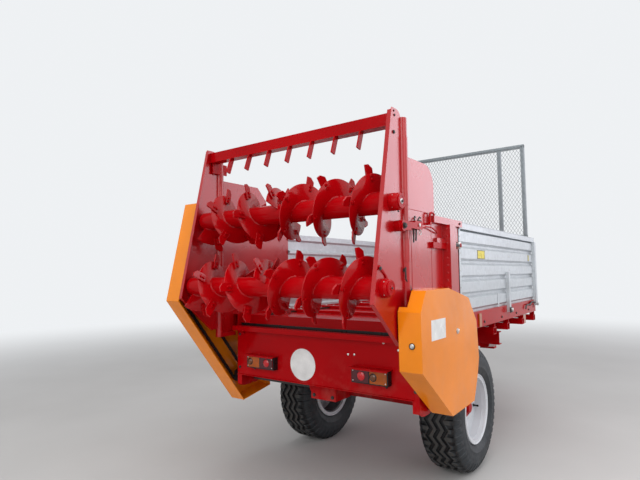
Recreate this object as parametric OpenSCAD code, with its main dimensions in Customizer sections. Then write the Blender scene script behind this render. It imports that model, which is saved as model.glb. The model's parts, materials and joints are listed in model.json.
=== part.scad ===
// Single-axle manure spreader with two horizontal beaters, a chain floor and a mesh front screen.
// X is to the right, Y is forward to the towing eye and Z is up from the ground.
// Heights are measured from the ground, lengths along Y from the rear face of the rear panel.

/* [Wheels] */
// Outer radius of a tyre
tyre_r = 380; // [360:5:395]
// Width of a tyre
tyre_w = 264; // [240:2:280]
// Radius of the rim flange
rim_r = 212; // [205:1:220]
// Distance between the two tyre middles
track = 1090; // [1070:2:1110]
// Place of the axle ahead of the rear panel
axle_y = 814; // [700:5:950]
// Side of the square axle beam
axle_side = 70; // [60:2:80]
// Radius of the stub axle
stub_r = 25; // [20:1:30]

/* [Load box] */
// Height of the load floor
floor_z = 972; // [968:1:976]
// Thickness of the floor
floor_t = 18; // [12:1:22]
// Half width over the outside of the walls
wall_x = 666; // [660:1:672]
// Thickness of a ribbed wall
wall_t = 26; // [20:1:32]
// Height of the wall's upper edge
wall_top_z = 1536; // [1480:4:1600]
// Height of the upper edge of the chassis side rail
rail_top_z = 981; // [970:1:990]
// Height of the lower edge of the chassis side rail
rail_low_z = 876; // [866:1:880]
// Where the ribbed side walls start
wall_y0 = 563; // [500:2:600]
// Front face of the load box
box_y1 = 2455; // [2300:5:2600]
// Number of pressed panels in a side wall
wall_bands = 5; // [3:1:6]

/* [Front screen] */
// Height of the upper edge of the mesh screen
screen_top_z = 2409; // [2200:5:2500]
// Half width of the screen
screen_x = 627; // [600:1:640]
// Side of the screen's square tube
screen_tube = 32; // [25:1:40]
// Place of the two middle bars beside the centre
screen_bar_x = 400; // [350:5:450]
// Spacing of the mesh bars
mesh_step = 90; // [70:5:120]
// Thickness of a mesh bar
mesh_bar = 6; // [4:1:8]

/* [Spreading unit] */
// Half width between the two side plates
plate_x = 652; // [646:1:655]
// Thickness of a side plate
plate_t = 5; // [4:1:8]
// Width of the flange that is folded inwards along a side plate's rear edge
flange_w = 22; // [16:1:30]
// Height of the top of a side plate
plate_top_z = 2025; // [1990:1:2060]
// Radius of the side plate's front upper corner
crown_r = 45; // [30:1:60]
// Place of the side plate's rear edge at its top
plate_top_y = -243; // [-260:1:-230]
// Rearmost point of the side plate
kink_y = -442; // [-450:1:-436]
// Height of that point
kink_z = 1100; // [1080:2:1130]
// Height of the side plate's lower corner
plate_low_z = 893; // [880:1:910]
// Place of that corner
plate_low_y = -205; // [-215:1:-195]
// Rear face of the posts in front of the side plates
post_y = -147; // [-150:1:-144]
// Depth of a post along Y
post_d = 34; // [28:1:40]
// Height of the posts' tops
post_top_z = 1996; // [1970:1:2010]
// Side of the square tube between the plates
beam = 60; // [50:1:70]
// Rear face of that tube
beam_y = -218; // [-222:1:-205]
// Number of flat teeth under the tube
tooth_count = 7; // [5:1:9]
// Spacing of the teeth
tooth_step = 155; // [120:5:160]
// Length of a tooth
tooth_h = 90; // [70:1:100]
// Width of a tooth at the tube
tooth_w = 33; // [26:1:40]
// Half width of the rear panel
panel_x = 620; // [612:1:620]

/* [Beaters] */
// Shaft of the upper beater: place along Y
upper_y = -260; // [-266:1:-254]
// Shaft of the upper beater: height
upper_z = 1564; // [1561:1:1590]
// Shaft of the lower beater: place along Y
lower_y = -354; // [-360:1:-348]
// Shaft of the lower beater: height
lower_z = 1168; // [1160:1:1172]
// Outer radius of a beater's tube
beater_tube_r = 54; // [45:1:60]
// Outer radius of a flight
flight_r = 146; // [130:1:155]
// Radius at a knife's tip
knife_tip_r = 192; // [175:1:194]
// Width of a knife
knife_w = 46; // [36:1:56]
// Thickness of a knife
knife_t = 8; // [6:1:10]
// Number of knives on each half
knife_count = 13; // [9:1:13]
// Angle from one knife to the next along a flight
knife_step = 77; // [70:1:78]
// Thickness of a flight
flight_t = 6; // [4:1:10]
// Advance of a flight in one turn
flight_pitch = 211; // [200:1:214]
// Turns of a flight on each half
flight_turns = 2.8; // [2:0.1:2.8]
// Outer end of the flights
flight_end_x = 598; // [590:1:602]
// Radius of a beater's shaft
shaft_r = 20; // [16:1:24]

/* [Chain drive] */
// Cross shaft: place along Y
drive_y = 130; // [110:5:160]
// Cross shaft: height
drive_z = 560; // [545:1:580]
// Radius of a sprocket's disc
sprocket_r = 40; // [38:1:44]
// Depth of a chain across its links
chain_h = 14; // [10:1:18]
// Width of a chain
chain_w = 18; // [12:1:22]

/* [Guards] */
// Outer face of a guard beside the centre
guard_x1 = 780; // [776:1:800]
// Thickness of guard sheet
guard_t = 4; // [3:1:5]

/* [Drawbar] */
// Place of the towing eye
eye_y = 3400; // [3200:10:3600]
// Height of the towing eye
eye_z = 450; // [400:5:500]
// Radius of the hole in the towing eye
eye_bore_r = 20; // [16:0.5:26]
// Outer radius of the towing eye
eye_r = 52; // [45:1:60]
// Thickness of the towing eye
eye_t = 30; // [24:1:36]
// Start of the drawbar arms
arm_y0 = 1640; // [1560:10:1750]
// Half width between the arms at their start
arm_x0 = 500; // [430:5:540]
// Height of the arms' middle at their start
arm_z0 = 720; // [710:1:730]
// Width of an arm
arm_w = 60; // [50:1:80]
// Height of an arm
arm_h = 100; // [80:1:110]

/* [Jack] */
// Radius of the jack's outer tube
jack_r = 36; // [32:1:42]
// Radius of the jack's leg
jack_leg_r = 28; // [22:1:29]
// Distance of the jack ahead of the load box
jack_gap = 295; // [200:5:400]
// Radius of the jack's foot
jack_foot_r = 85; // [70:1:100]

/* [Input shaft] */
// Radius over the splines of the input shaft
pto_r = 17.4; // [17:0.1:22]
// Length of the splined end
pto_len = 90; // [70:1:110]
// Front end of the drive line's tube
pto_y = 2330; // [2200:5:2400]

/* [Rear lamps] */
// Half the distance over the lamps' outer ends
lamp_x1 = 498; // [460:2:540]
// Width of a lamp
lamp_w = 220; // [180:2:240]
// Height of a lamp
lamp_h = 78; // [60:1:90]
// Height of the lamps' lower edge
lamp_z = 655; // [640:1:670]
// Radius of the blank round sign
sign_r = 92; // [75:1:100]

/* [Fits] */
// Running clearance of a shaft in its bearing
fit = 0.06; // [0.03:0.01:0.1]
// Gap between pieces that are seated on each other
seat = 0.3; // [0.2:0.05:0.5]
// Gap round pieces that move
free_gap = 6; // [5:0.5:8]

/* [Hidden] */
$fn = 64;

red = [0.72, 0.03, 0.05];
orange = [0.95, 0.50, 0.08];
galvanised = [0.72, 0.74, 0.76];
black = [0.08, 0.08, 0.09];

// The rearmost point is a knife's tip on the lower beater, the foremost the towing eye's rim
rear_y = lower_y - knife_tip_r;
front_y = eye_y + eye_r;
mid_y = (rear_y + front_y) / 2;

wall_in_x = wall_x - wall_t;
guard_x0 = wall_x;
tyre_x = track / 2;
plate_out_x = plate_x + plate_t;
cross_top_z = rail_low_z - 30;
cross_h = 50;
cross_z = cross_top_z - cross_h;
beam_z = 700;
main_x = 330;
main_w = 60;
frame_t = 5;
sheet_t = 3;
panel_z0 = 593;
panel_z1 = 884;
foot_z = panel_z0 - 62;
column_w = 38;
column_d = 60;
column_left_x = 584;
column_right_x = 613;
board_y0 = 26;
board_y1 = 34;
post_x = 640;
post_low_z = 842;
cross_places = [60, 420, 1215, 1560, 2000];
cross_w = 60;
conveyor_r = 46;
floor_chain_h = 12;
floor_chain_w = 16;
conveyor_z = floor_z + seat - conveyor_r;
conveyor_y0 = 100;
conveyor_y1 = box_y1 - 90;
conveyor_shaft_r = 18;
chain_x = 430;
slat_y0 = 380;
slat_step = 400;
slat_w = 40;
slat_h = 20;
cross_shaft_r = 18;
wall_post_y = 1540;
wall_post_h = 300;
side_lamp_y = 880;
side_lamp_w = 45;
side_lamp_h = 86;
low_lamp_y = 2066;
low_lamp_w = 74;
low_lamp_h = 80;
clamp_y = -221;
clamp_z = 1455;
clamp_r = 26;
clamp_out = 34;
latch_y0 = -97;
latch_y1 = -20;
latch_h = 40;

// Puts a shape drawn from the rear panel's face into the part's frame
module placed() { translate([0, -mid_y, 0]) children(); }
// A box given by its two corners
module block(lo, hi) { translate(lo) cube(hi - lo); }
// Square tubes along X, Y and Z given by their outer corners and the thickness of their walls
module tube_x(lo, hi, t) { difference() { block(lo, hi); block(lo + [-1, t, t], hi + [1, -t, -t]); } }
module tube_y(lo, hi, t) { difference() { block(lo, hi); block(lo + [t, -1, t], hi + [-t, 1, -t]); } }
module tube_z(lo, hi, t) { difference() { block(lo, hi); block(lo + [t, t, -1], hi + [-t, -t, 1]); } }
// A round bar along X between two places
module bar_x(x0, x1, y, z, r) { translate([x0, y, z]) rotate([0, 90, 0]) cylinder(h = x1 - x0, r = r); }
// A round bar along Y between two places
module bar_y(x, y0, y1, z, r) { translate([x, y0, z]) rotate([-90, 0, 0]) cylinder(h = y1 - y0, r = r); }
// A side outline drawn in Y and Z, given a thickness along X from x0 to x1
module side_shape(x0, x1) {
    translate([x0, 0, 0]) rotate([90, 0, 90]) linear_extrude(x1 - x0) children();
}
// The child on the right side, and its mirror image on the left
module both_sides() { children(); mirror([1, 0, 0]) children(); }
module one_side(right) { mirror([right ? 0 : 1, 0, 0]) children(); }

module chassis_frame() color(red) placed() {
    union() {
        block([-wall_in_x + 18, board_y0, floor_z - 51], [wall_in_x - 18, board_y1, floor_z + 4]);
        both_sides() {
            difference() {
                tube_y([wall_in_x - 20, 0, rail_low_z], [wall_x, box_y1, rail_top_z], frame_t);
                for (y = [conveyor_y0, conveyor_y1])
                    bar_x(wall_in_x - 30, wall_x + 10, y, conveyor_z, conveyor_shaft_r + seat);
            }
            tube_y([main_x - main_w / 2, cross_w, beam_z],
                [main_x + main_w / 2, arm_y0 - arm_w / 2, cross_z], frame_t);
        }
        for (y = concat(cross_places, [box_y1 - cross_w])) {
            tube_x([-wall_x + 6, y, cross_z], [wall_x - 6, y + cross_w, cross_top_z], frame_t);
            both_sides() block([wall_in_x - 20, y + 26, cross_top_z - 1],
                [wall_x - 6, y + 34, rail_low_z + 1]);
        }
    }
}

// Web of a rear column, in Y and Z: it widens downwards into a foot that is rounded underneath
module column_web() {
    foot_y1 = 175;
    difference() {
        polygon([[0, foot_z], [25, foot_z - 14], [60, foot_z - 20], [110, foot_z - 19], [150, foot_z - 9],
            [foot_y1, foot_z + 17], [foot_y1, 640], [column_d - seat, 720],
            [column_d - seat, rail_low_z - seat], [0, rail_low_z - seat]]);
        translate([drive_y, drive_z]) circle(r = cross_shaft_r + free_gap);
    }
}

module rear_panel() color(red) placed() {
    hood = 8;
    union() {
        block([-panel_x, 0, panel_z0], [panel_x, 5, panel_z1]);
        block([-panel_x, -50, panel_z1], [panel_x, 5, panel_z1 + 22]);
        block([-column_left_x - column_w, 0, foot_z], [-column_left_x, 5, rail_low_z - seat]);
        side_shape(-column_left_x - column_w, -column_left_x - column_w + 5) column_web();
        block([column_right_x, 0, foot_z], [column_right_x + column_w, 5, rail_low_z - seat]);
        side_shape(column_right_x + column_w - 5, column_right_x + column_w) column_web();
        both_sides() block([lamp_x1 - lamp_w - hood, -62, lamp_z + lamp_h + seat],
            [lamp_x1 + hood, 1, lamp_z + lamp_h + 4]);
    }
}

// One drawbar arm, a tube from the cross tube to the nose block, which slopes down and inwards
module arm_right() {
    from = [arm_x0 + arm_w / 2, arm_y0, arm_z0];
    to = [arm_w / 2, eye_y - 210, eye_z];
    reach = to - from;
    length = norm(reach);
    translate(from) rotate([0, -asin(reach[2] / length), atan2(reach[1], reach[0])])
        tube_x([0, -arm_w / 2, -arm_h / 2 + 8], [length, arm_w / 2, arm_h / 2 - 8], frame_t);
}

module drawbar() color(red) placed() {
    cross_end = arm_x0 + arm_w + 20;
    union() {
        both_sides() arm_right();
        block([-cross_end, arm_y0 - arm_w / 2 + seat, arm_z0 - arm_h / 2],
            [cross_end, arm_y0 + arm_w / 2, arm_z0 - arm_h / 2 + 8]);
        block([-cross_end, arm_y0 - arm_w / 2 + seat, arm_z0 + arm_h / 2 - 8],
            [cross_end, arm_y0 + arm_w / 2, arm_z0 + arm_h / 2]);
        block([-cross_end, arm_y0 - arm_w / 2 + seat, arm_z0 - arm_h / 2],
            [cross_end, arm_y0 - arm_w / 2 + 8, arm_z0 + arm_h / 2]);
        both_sides() block([arm_x0 + 10, arm_y0 - 20, arm_z0], [arm_x0 + 20, arm_y0 + 130, cross_z - seat]);
        block([-75, eye_y - 260, eye_z - 50], [75, eye_y - 170, eye_z + 50]);
    }
}

module towing_eye() color(black) placed() {
    difference() {
        union() {
            translate([0, eye_y, eye_z - eye_t / 2]) cylinder(h = eye_t, r = eye_r);
            bar_y(0, eye_y - 170 + seat, eye_y - eye_bore_r - 12, eye_z, eye_t / 2);
        }
        translate([0, eye_y, eye_z - eye_t]) cylinder(h = 2 * eye_t, r = eye_bore_r);
    }
}

function arm_mid_x(y) = arm_w / 2 + arm_x0 * (eye_y - 210 - y) / (eye_y - 210 - arm_y0);
function arm_mid_z(y) = eye_z + (arm_z0 - eye_z) * (eye_y - 210 - y) / (eye_y - 210 - arm_y0);
// Outer face of an arm at a place along Y
function arm_face_x(y) = arm_mid_x(y) + seat
    + arm_w / 2 * norm([arm_x0, eye_y - 210 - arm_y0]) / (eye_y - 210 - arm_y0);
jack_y = box_y1 + jack_gap;
jack_x = -(arm_mid_x(jack_y) + arm_w / 2 + jack_r + 24);
jack_top_z = 820;
jack_low_z = 330;
jack_foot_t = 8;
leg_top_z = 460;

module jack_sleeve() color(red) placed() {
    difference() {
        union() {
            translate([jack_x, jack_y, jack_low_z]) cylinder(h = jack_top_z - jack_low_z, r = jack_r);
            translate([0, 0, arm_mid_z(jack_y) - 38]) linear_extrude(76) polygon([[jack_x + 10, jack_y - 30],
                [-arm_face_x(jack_y - 30), jack_y - 30], [-arm_face_x(jack_y + 30), jack_y + 30],
                [jack_x + 10, jack_y + 30]]);
            translate([jack_x, jack_y, jack_top_z - 1]) cylinder(h = 30, r = jack_r + 4);
            bar_x(jack_x - 150, jack_x, jack_y, jack_top_z + 15, 8);
        }
        translate([jack_x, jack_y, jack_low_z - 10])
            cylinder(h = jack_top_z - jack_low_z - 20, r = jack_leg_r + 0.5);
    }
}

module jack_leg() color(galvanised) placed() {
    translate([jack_x, jack_y, 0]) cylinder(h = jack_foot_t, r = jack_foot_r);
    translate([jack_x, jack_y, jack_foot_t]) cylinder(h = leg_top_z - jack_foot_t, r = jack_leg_r);
}

// Half length of the pads that carry the frame on the axle beam
pad_reach = 75;
module axle_beam() color(red) placed() {
    hub_face = tyre_x - hub_back - 5;
    union() {
        block([-hub_face, axle_y - axle_side / 2, tyre_r - axle_side / 2],
            [hub_face, axle_y + axle_side / 2, tyre_r + axle_side / 2]);
        both_sides() {
            bar_x(hub_face - 5, tyre_x + stub_out, axle_y, tyre_r, stub_r);
            block([main_x - main_w / 2, axle_y - pad_reach, tyre_r],
                [main_x + main_w / 2, axle_y + pad_reach, beam_z - seat]);
        }
    }
}

// The floor has a slot at its rear end for each chain
module floor_plate() color(red) placed() difference() {
    block([-wall_in_x + 20 + seat, board_y1 + seat, floor_z - floor_t],
        [wall_in_x - 20 - seat, conveyor_y1 - 62, floor_z]);
    both_sides() block([chain_x - floor_chain_w / 2 - free_gap, board_y1 - 1, floor_z - floor_t - 1],
        [chain_x + floor_chain_w / 2 + free_gap, conveyor_y0 + 70, floor_z + 1]);
}

// One loop of floor chain round its two shafts
module chain_loop(y0, y1, z, r, h) {
    difference() {
        union() {
            translate([y0, z]) circle(r = r + h);
            translate([y1, z]) circle(r = r + h);
            translate([y0, z - r - h]) square([y1 - y0, 2 * (r + h)]);
        }
        union() {
            translate([y0, z]) circle(r = r);
            translate([y1, z]) circle(r = r);
            translate([y0, z - r]) square([y1 - y0, 2 * r]);
        }
    }
}

// A slat lies across both chains and hangs down to the floor beside them
module slat(y) {
    reach = chain_x + 60;
    beside = floor_chain_w / 2 + 4;
    lo = floor_z + 2;
    hi = floor_z + slat_h;
    union() {
        block([-reach, y - slat_w / 2, floor_z + floor_chain_h + 2 * seat], [reach, y + slat_w / 2, hi]);
        block([-chain_x + beside, y - slat_w / 2, lo], [chain_x - beside, y + slat_w / 2, hi]);
        both_sides() block([chain_x + beside, y - slat_w / 2, lo], [reach, y + slat_w / 2, hi]);
    }
}

module conveyor() color(red) placed() {
    both_sides() side_shape(chain_x - floor_chain_w / 2, chain_x + floor_chain_w / 2)
        chain_loop(conveyor_y0, conveyor_y1, conveyor_z, conveyor_r, floor_chain_h);
    for (y = [slat_y0 : slat_step : conveyor_y1 - slat_w]) slat(y);
}

module conveyor_shaft() color(black) placed() {
    union() {
        bar_x(-wall_x + 4, wall_x + 40, conveyor_y0, conveyor_z, conveyor_shaft_r);
        both_sides() bar_x(chain_x - 7, chain_x + 7, conveyor_y0, conveyor_z, conveyor_r - seat);
    }
    union() {
        bar_x(-wall_x + 4, wall_x - 4, conveyor_y1, conveyor_z, conveyor_shaft_r);
        both_sides() bar_x(chain_x - 7, chain_x + 7, conveyor_y1, conveyor_z, conveyor_r - seat);
    }
}

// Section of a ribbed wall of pressed sheet: Z up along the wall, with ribs that stand out by depth
module wall_section(z0, z1, depth) {
    step = (z1 - z0 - 40) / wall_bands;
    edge = 14;
    outer = concat([[0, z0]], [for (i = [0 : wall_bands - 1]) let (z = z0 + i * step)
        each [[0, z + edge], [depth, z + 2 * edge], [depth, z + step - edge], [0, z + step]]], [[0, z1]]);
    inner = [for (i = [len(outer) - 1 : -1 : 0]) outer[i] - [sheet_t, 0]];
    polygon(concat(outer, inner));
    translate([-sheet_t, z1 - 40]) difference() {
        square([depth + 12, 40]);
        translate([sheet_t, sheet_t]) square([depth + 12 - 2 * sheet_t, 40 - 2 * sheet_t]);
    }
}

module side_wall() {
    translate([0, box_y1, 0]) rotate([90, 0, 0]) linear_extrude(box_y1 - wall_y0 - seat)
        translate([wall_in_x + 8, 0]) wall_section(rail_top_z + seat, wall_top_z, wall_t - 8);
}
module side_wall_left() color(galvanised) placed() one_side(false) side_wall();
module side_wall_right() color(galvanised) placed() one_side(true) side_wall();

module wall_posts() color(galvanised) placed() {
    both_sides() {
        block([wall_x + seat, wall_post_y, rail_top_z - 50],
            [wall_x + 22, wall_post_y + 40, rail_top_z - 50 + wall_post_h]);
        block([wall_x + seat, box_y1 - 60, rail_top_z - 50],
            [wall_x + 24, box_y1 - 10, wall_top_z - 40 - seat]);
    }
}

// Red rear end of the body's side, with its tall rounded plate, its post and its stiffeners
module rear_side() {
    top_z = 1806;
    plate_y1 = 210;
    round_r = 110;
    sheet_x = wall_x - 5;
    stiffener_y = 395;
    union() {
        side_shape(sheet_x, wall_x) union() {
            difference() {
                translate([post_y, rail_top_z + seat]) square([plate_y1 - post_y, top_z - rail_top_z]);
                translate([plate_y1 - round_r, top_z - round_r]) difference() {
                    square(round_r + 10);
                    circle(r = round_r);
                }
            }
            translate([plate_y1 - 1, rail_top_z + seat])
                square([wall_y0 - plate_y1 + 1, wall_top_z - rail_top_z - seat]);
            translate([post_y, post_low_z + 8]) square([-post_y - seat, rail_top_z - post_low_z]);
        }
        block([post_x, post_y, post_low_z], [wall_x, post_y + post_d, post_top_z]);
        block([post_x, post_y + post_d - 1, post_low_z], [wall_x, -seat, post_low_z + 24]);
        block([wall_x - 1, plate_y1 - 60, wall_top_z - 36], [wall_x + 26, wall_y0, wall_top_z]);
        block([wall_x - 1, stiffener_y, 1115], [wall_x + 18, stiffener_y + 60, wall_top_z - 20]);
        block([wall_x - 1, plate_y1, 1390], [wall_x + 14, stiffener_y + 5, 1420]);
    }
}
module rear_side_left() color(red) placed() one_side(false) rear_side();
module rear_side_right() color(red) placed() one_side(true) rear_side();

module front_wall() color(galvanised) placed() {
    half = wall_in_x - 4 - seat;
    translate([-half, 0, 0]) rotate([90, 0, 90]) linear_extrude(2 * half)
        translate([box_y1 - wall_t, 0]) wall_section(rail_top_z + seat, wall_top_z, wall_t - 12);
}

module screen_frame() color(galvanised) placed() {
    y0 = box_y1 - screen_tube;
    z0 = wall_top_z + seat;
    z1 = screen_top_z - screen_tube;
    union() {
        both_sides() {
            tube_z([screen_x - screen_tube, y0, z0 + screen_tube], [screen_x, box_y1, z1], sheet_t);
            tube_z([screen_bar_x - screen_tube / 2, y0, z0 + screen_tube],
                [screen_bar_x + screen_tube / 2, box_y1, z1], sheet_t);
        }
        for (z = [z0, z1])
            tube_x([-screen_x, y0, z], [screen_x, box_y1, z + screen_tube], sheet_t);
    }
}

module screen_mesh() color(galvanised) placed() {
    y = box_y1 - screen_tube - seat;
    z0 = wall_top_z + screen_tube / 2;
    z1 = screen_top_z - screen_tube / 2;
    x1 = screen_x - screen_tube / 2;
    tall = z1 - z0;
    translate([0, y, 0]) rotate([90, 0, 0]) linear_extrude(3) union() {
        for (side = [-1, 1])
            intersection() {
                translate([-x1, z0]) square([2 * x1, tall]);
                union() for (i = [-20 : 20])
                    translate([i * mesh_step, (z0 + z1) / 2]) rotate(side * 30)
                        square([mesh_bar, 3 * tall], center = true);
            }
        difference() {
            translate([-x1, z0]) square([2 * x1, tall]);
            translate([-x1 + 10, z0 + 10]) square([2 * x1 - 20, tall - 20]);
        }
    }
}

// Outline of a side plate of the spreading unit, in Y and Z
module plate_outline() {
    front = post_y - seat;
    difference() {
        union() {
            polygon([[plate_top_y, plate_top_z - 12], [kink_y, kink_z], [plate_low_y, plate_low_z],
                [front, plate_low_z], [front, plate_top_z - crown_r], [front - crown_r, plate_top_z],
                [plate_top_y + 8, plate_top_z]]);
            translate([front - crown_r, plate_top_z - crown_r]) circle(r = crown_r);
        }
        translate([upper_y, upper_z]) circle(r = shaft_r + free_gap);
        translate([lower_y, lower_z]) circle(r = shaft_r + free_gap);
    }
}

// Flange folded inwards along a rear edge from point a to point b
module edge_flange(a, b) {
    length = norm(b - a);
    angle = atan2(b[1] - a[1], b[0] - a[0]);
    side_shape(plate_out_x - flange_w, plate_out_x) translate(a) rotate(angle) square([length, plate_t]);
}

module beater_plate() {
    union() {
        side_shape(plate_x, plate_out_x) plate_outline();
        edge_flange([plate_top_y, plate_top_z - 12], [kink_y, kink_z]);
        edge_flange([kink_y, kink_z], [plate_low_y, plate_low_z]);
    }
}
module beater_plate_left() color(red) placed() one_side(false) beater_plate();
module beater_plate_right() color(red) placed() one_side(true) beater_plate();

module top_beam() color(red) placed() {
    top = plate_top_z - 19;
    low = top - beam;
    bracket_t = 6;
    union() {
        tube_x([-plate_x + seat, beam_y, low], [plate_x - seat, beam_y + beam, top], frame_t);
        both_sides() block([post_x - seat - bracket_t, beam_y + 12, low - 67],
            [post_x - seat, post_y + post_d + 25, low + 1]);
        for (i = [0 : tooth_count - 1]) {
            x = (i - (tooth_count - 1) / 2) * tooth_step;
            side_shape(x - 4, x + 4) polygon([[beam_y, low + 2], [beam_y + tooth_w, low + 2],
                [beam_y - 1, low - tooth_h - 6], [beam_y - tooth_w + 1, low - tooth_h + 2]]);
        }
    }
}

// Bearings on the outside of a side plate; each row is place, height, radius of the foot, radius
// of the cap and reach of the cap, which is less where the chains pass
foot_r = 42;
cap_r = 33;
upper_reach = 52;
lower_reach = 40;
left_reach = 36;
bearing_table = [[upper_y, upper_z, foot_r, cap_r, upper_reach],
    [lower_y, lower_z, foot_r + 2, cap_r + 2, lower_reach]];
module bearings(most) {
    foot_t = 16;
    for (row = bearing_table) difference() {
        union() {
            bar_x(plate_out_x + seat, plate_out_x + foot_t, row[0], row[1], row[2]);
            bar_x(plate_out_x + foot_t - 1, plate_out_x + min(most, row[4]), row[0], row[1], row[3]);
        }
        bar_x(plate_x, plate_out_x + 2 * upper_reach, row[0], row[1], shaft_r + fit);
    }
}
// Bearing of the cross shaft on the inner face of the left column's web
module cross_bearing() {
    x1 = column_left_x + column_w - 5 - seat;
    difference() {
        bar_x(x1 - 26, x1, drive_y, drive_z, 38);
        bar_x(x1 - 30, x1 + 5, drive_y, drive_z, cross_shaft_r + fit);
    }
}
module bearings_left() color(red) placed() one_side(false) {
    bearings(left_reach);
    cross_bearing();
}
module bearings_right() color(red) placed() one_side(true) bearings(upper_reach);

// A helical flight, from its outer end inwards; end_angle is where its outer end stands
module flight(end_angle) {
    flight_step = 7.5;
    all = flight_turns * 360;
    n = round(all / flight_step);
    inner = (beater_tube_r + seat) / cos(flight_step / 2);
    points = [for (i = [0 : n]) let (m = all - i * all / n, a = end_angle + m,
        x = flight_end_x - m / 360 * flight_pitch) each [
            [x - flight_t / 2, inner * cos(a), inner * sin(a)],
            [x + flight_t / 2, inner * cos(a), inner * sin(a)],
            [x + flight_t / 2, flight_r * cos(a), flight_r * sin(a)],
            [x - flight_t / 2, flight_r * cos(a), flight_r * sin(a)]]];
    walls = [for (i = [0 : n - 1]) for (j = [0 : 3]) let (k = (j + 1) % 4)
        each [[4 * i + j, 4 * i + k, 4 * i + 4 + k], [4 * i + j, 4 * i + 4 + k, 4 * i + 4 + j]]];
    last = 4 * n;
    polyhedron(points, concat([[3, 2, 1, 0]], walls, [[last, last + 1, last + 2, last + 3]]));
}

// A flat knife on the inner face of a flight, m degrees along it from its outer end. It is tilted
// as the flight is at the knife's middle, and stands off by what the flight twists under it
knife_root_r = 104;
knife_mid_r = 125;
module knife(end_angle, m) {
    twist = flight_pitch / (2 * PI) * (1 / knife_root_r - 1 / knife_mid_r) * knife_w / 2;
    face = flight_t / 2 + seat + twist;
    tip = sqrt(pow(knife_tip_r, 2) - pow(knife_w / 2, 2));
    translate([flight_end_x - m / 360 * flight_pitch, 0, 0]) rotate([end_angle + m, 0, 0])
        rotate([0, -atan(flight_pitch / (2 * PI * knife_mid_r)), 0])
            side_shape(-face - knife_t, -face) polygon([[knife_root_r, -knife_w / 2],
                [tip - 22, -knife_w / 2], [tip, 0], [tip, knife_w / 2], [knife_root_r, knife_w / 2]]);
}
first_knife = 54;
module half_beater(end_angle) {
    flight(end_angle);
    for (k = [0 : knife_count - 1]) knife(end_angle, first_knife + k * knife_step);
}
// The left half is the mirror image of the right one, turned by half a turn
module flights(y, z) translate([0, y, z]) {
    half_beater(50);
    mirror([1, 0, 0]) half_beater(230);
}
module beater_tube(y, z, sprocket_x) {
    tube_end = plate_x - 20;
    union() {
        difference() {
            bar_x(-tube_end, tube_end, y, z, beater_tube_r);
            bar_x(-tube_end + 12, tube_end - 12, y, z, beater_tube_r - frame_t);
        }
        bar_x(tube_end - 5, plate_out_x + 30, y, z, shaft_r);
        bar_x(-sprocket_x - 12, -tube_end + 5, y, z, shaft_r);
        bar_x(-sprocket_x - 5, -sprocket_x + 5, y, z, sprocket_r);
    }
}
chain_out_x = 745;
chain_in_x = 712;
module lower_tube() color(red) placed() {
    union() {
        beater_tube(lower_y, lower_z, chain_out_x);
        bar_x(-chain_in_x - 5, -chain_in_x + 5, lower_y, lower_z, sprocket_r);
    }
}
module lower_flights() color(red) placed() flights(lower_y, lower_z);
module upper_tube() color(red) placed() beater_tube(upper_y, upper_z, chain_in_x);
module upper_flights() color(red) placed() flights(upper_y, upper_z);

// One drive chain round two equal sprockets, at x
module drive_chain(a, b, x) {
    r = sprocket_r + seat;
    length = norm(b - a);
    side_shape(-x - chain_w / 2, -x + chain_w / 2) translate(a) rotate(atan2(b[1] - a[1], b[0] - a[0]))
        chain_loop(0, length, 0, r, chain_h);
}
module drive_chains() color(black) placed() {
    drive_chain([drive_y, drive_z], [lower_y, lower_z], chain_out_x);
    drive_chain([lower_y, lower_z], [upper_y, upper_z], chain_in_x);
}

gear_x = 88;
gear_boss = 16;
module cross_shaft() color(black) placed() {
    union() {
        bar_x(-chain_out_x - 12, -gear_x - 8, drive_y, drive_z, cross_shaft_r);
        bar_x(-chain_out_x - 5, -chain_out_x + 5, drive_y, drive_z, sprocket_r);
    }
}

module gearbox() color(red) placed() {
    drive_tube();
    hanger_x = main_x - main_w / 2 - seat;
    difference() {
        union() {
            block([-gear_x, drive_y - 45, drive_z - 65], [gear_x, drive_y + 110, drive_z + 90]);
            bar_x(-gear_x - gear_boss, 0, drive_y, drive_z, 40);
            block([-hanger_x, drive_y - 40, beam_z + 10], [hanger_x, drive_y + 40, beam_z + 30]);
            block([-60, drive_y - 40, drive_z + 80], [60, drive_y + 40, beam_z + 30]);
        }
        bar_x(-gear_x - gear_boss - 1, -gear_x - 6, drive_y, drive_z, cross_shaft_r + fit);
    }
}

// Tube of the drive line from the gearbox to the input shaft's bearing
module drive_tube() {
    difference() {
        bar_y(0, drive_y + 110 + seat, pto_y, drive_z, 40);
        bar_y(0, pto_y - 160, pto_y + 1, drive_z, pto_r + 4 + fit);
        bar_y(0, drive_y + 130, pto_y - 180, drive_z, 40 - sheet_t);
    }
}

module input_shaft() color(galvanised) placed() {
    bar_y(0, pto_y - 155, pto_y + 10, drive_z, pto_r + 4);
    bar_y(0, pto_y + 10, pto_y + 10 + pto_len, drive_z, pto_r);
}

module pto_cone() color([0.9, 0.8, 0.1]) placed() {
    translate([0, pto_y - 60, drive_z]) rotate([-90, 0, 0]) difference() {
        cylinder(h = 150, r1 = 60, r2 = 92);
        translate([0, 0, 4]) cylinder(h = 150, r1 = 57, r2 = 89);
        translate([0, 0, -1]) cylinder(h = 10, r = 40 + seat);
    }
}

// A guard of bent sheet: an outline in Y and Z, closed outside and round its rim, open towards the body
module guard_shell(outline, inner) {
    difference() {
        side_shape(guard_x0, guard_x1) polygon(outline);
        side_shape(guard_x0 - 1, guard_x1 - guard_t) polygon(inner);
    }
}
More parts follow.
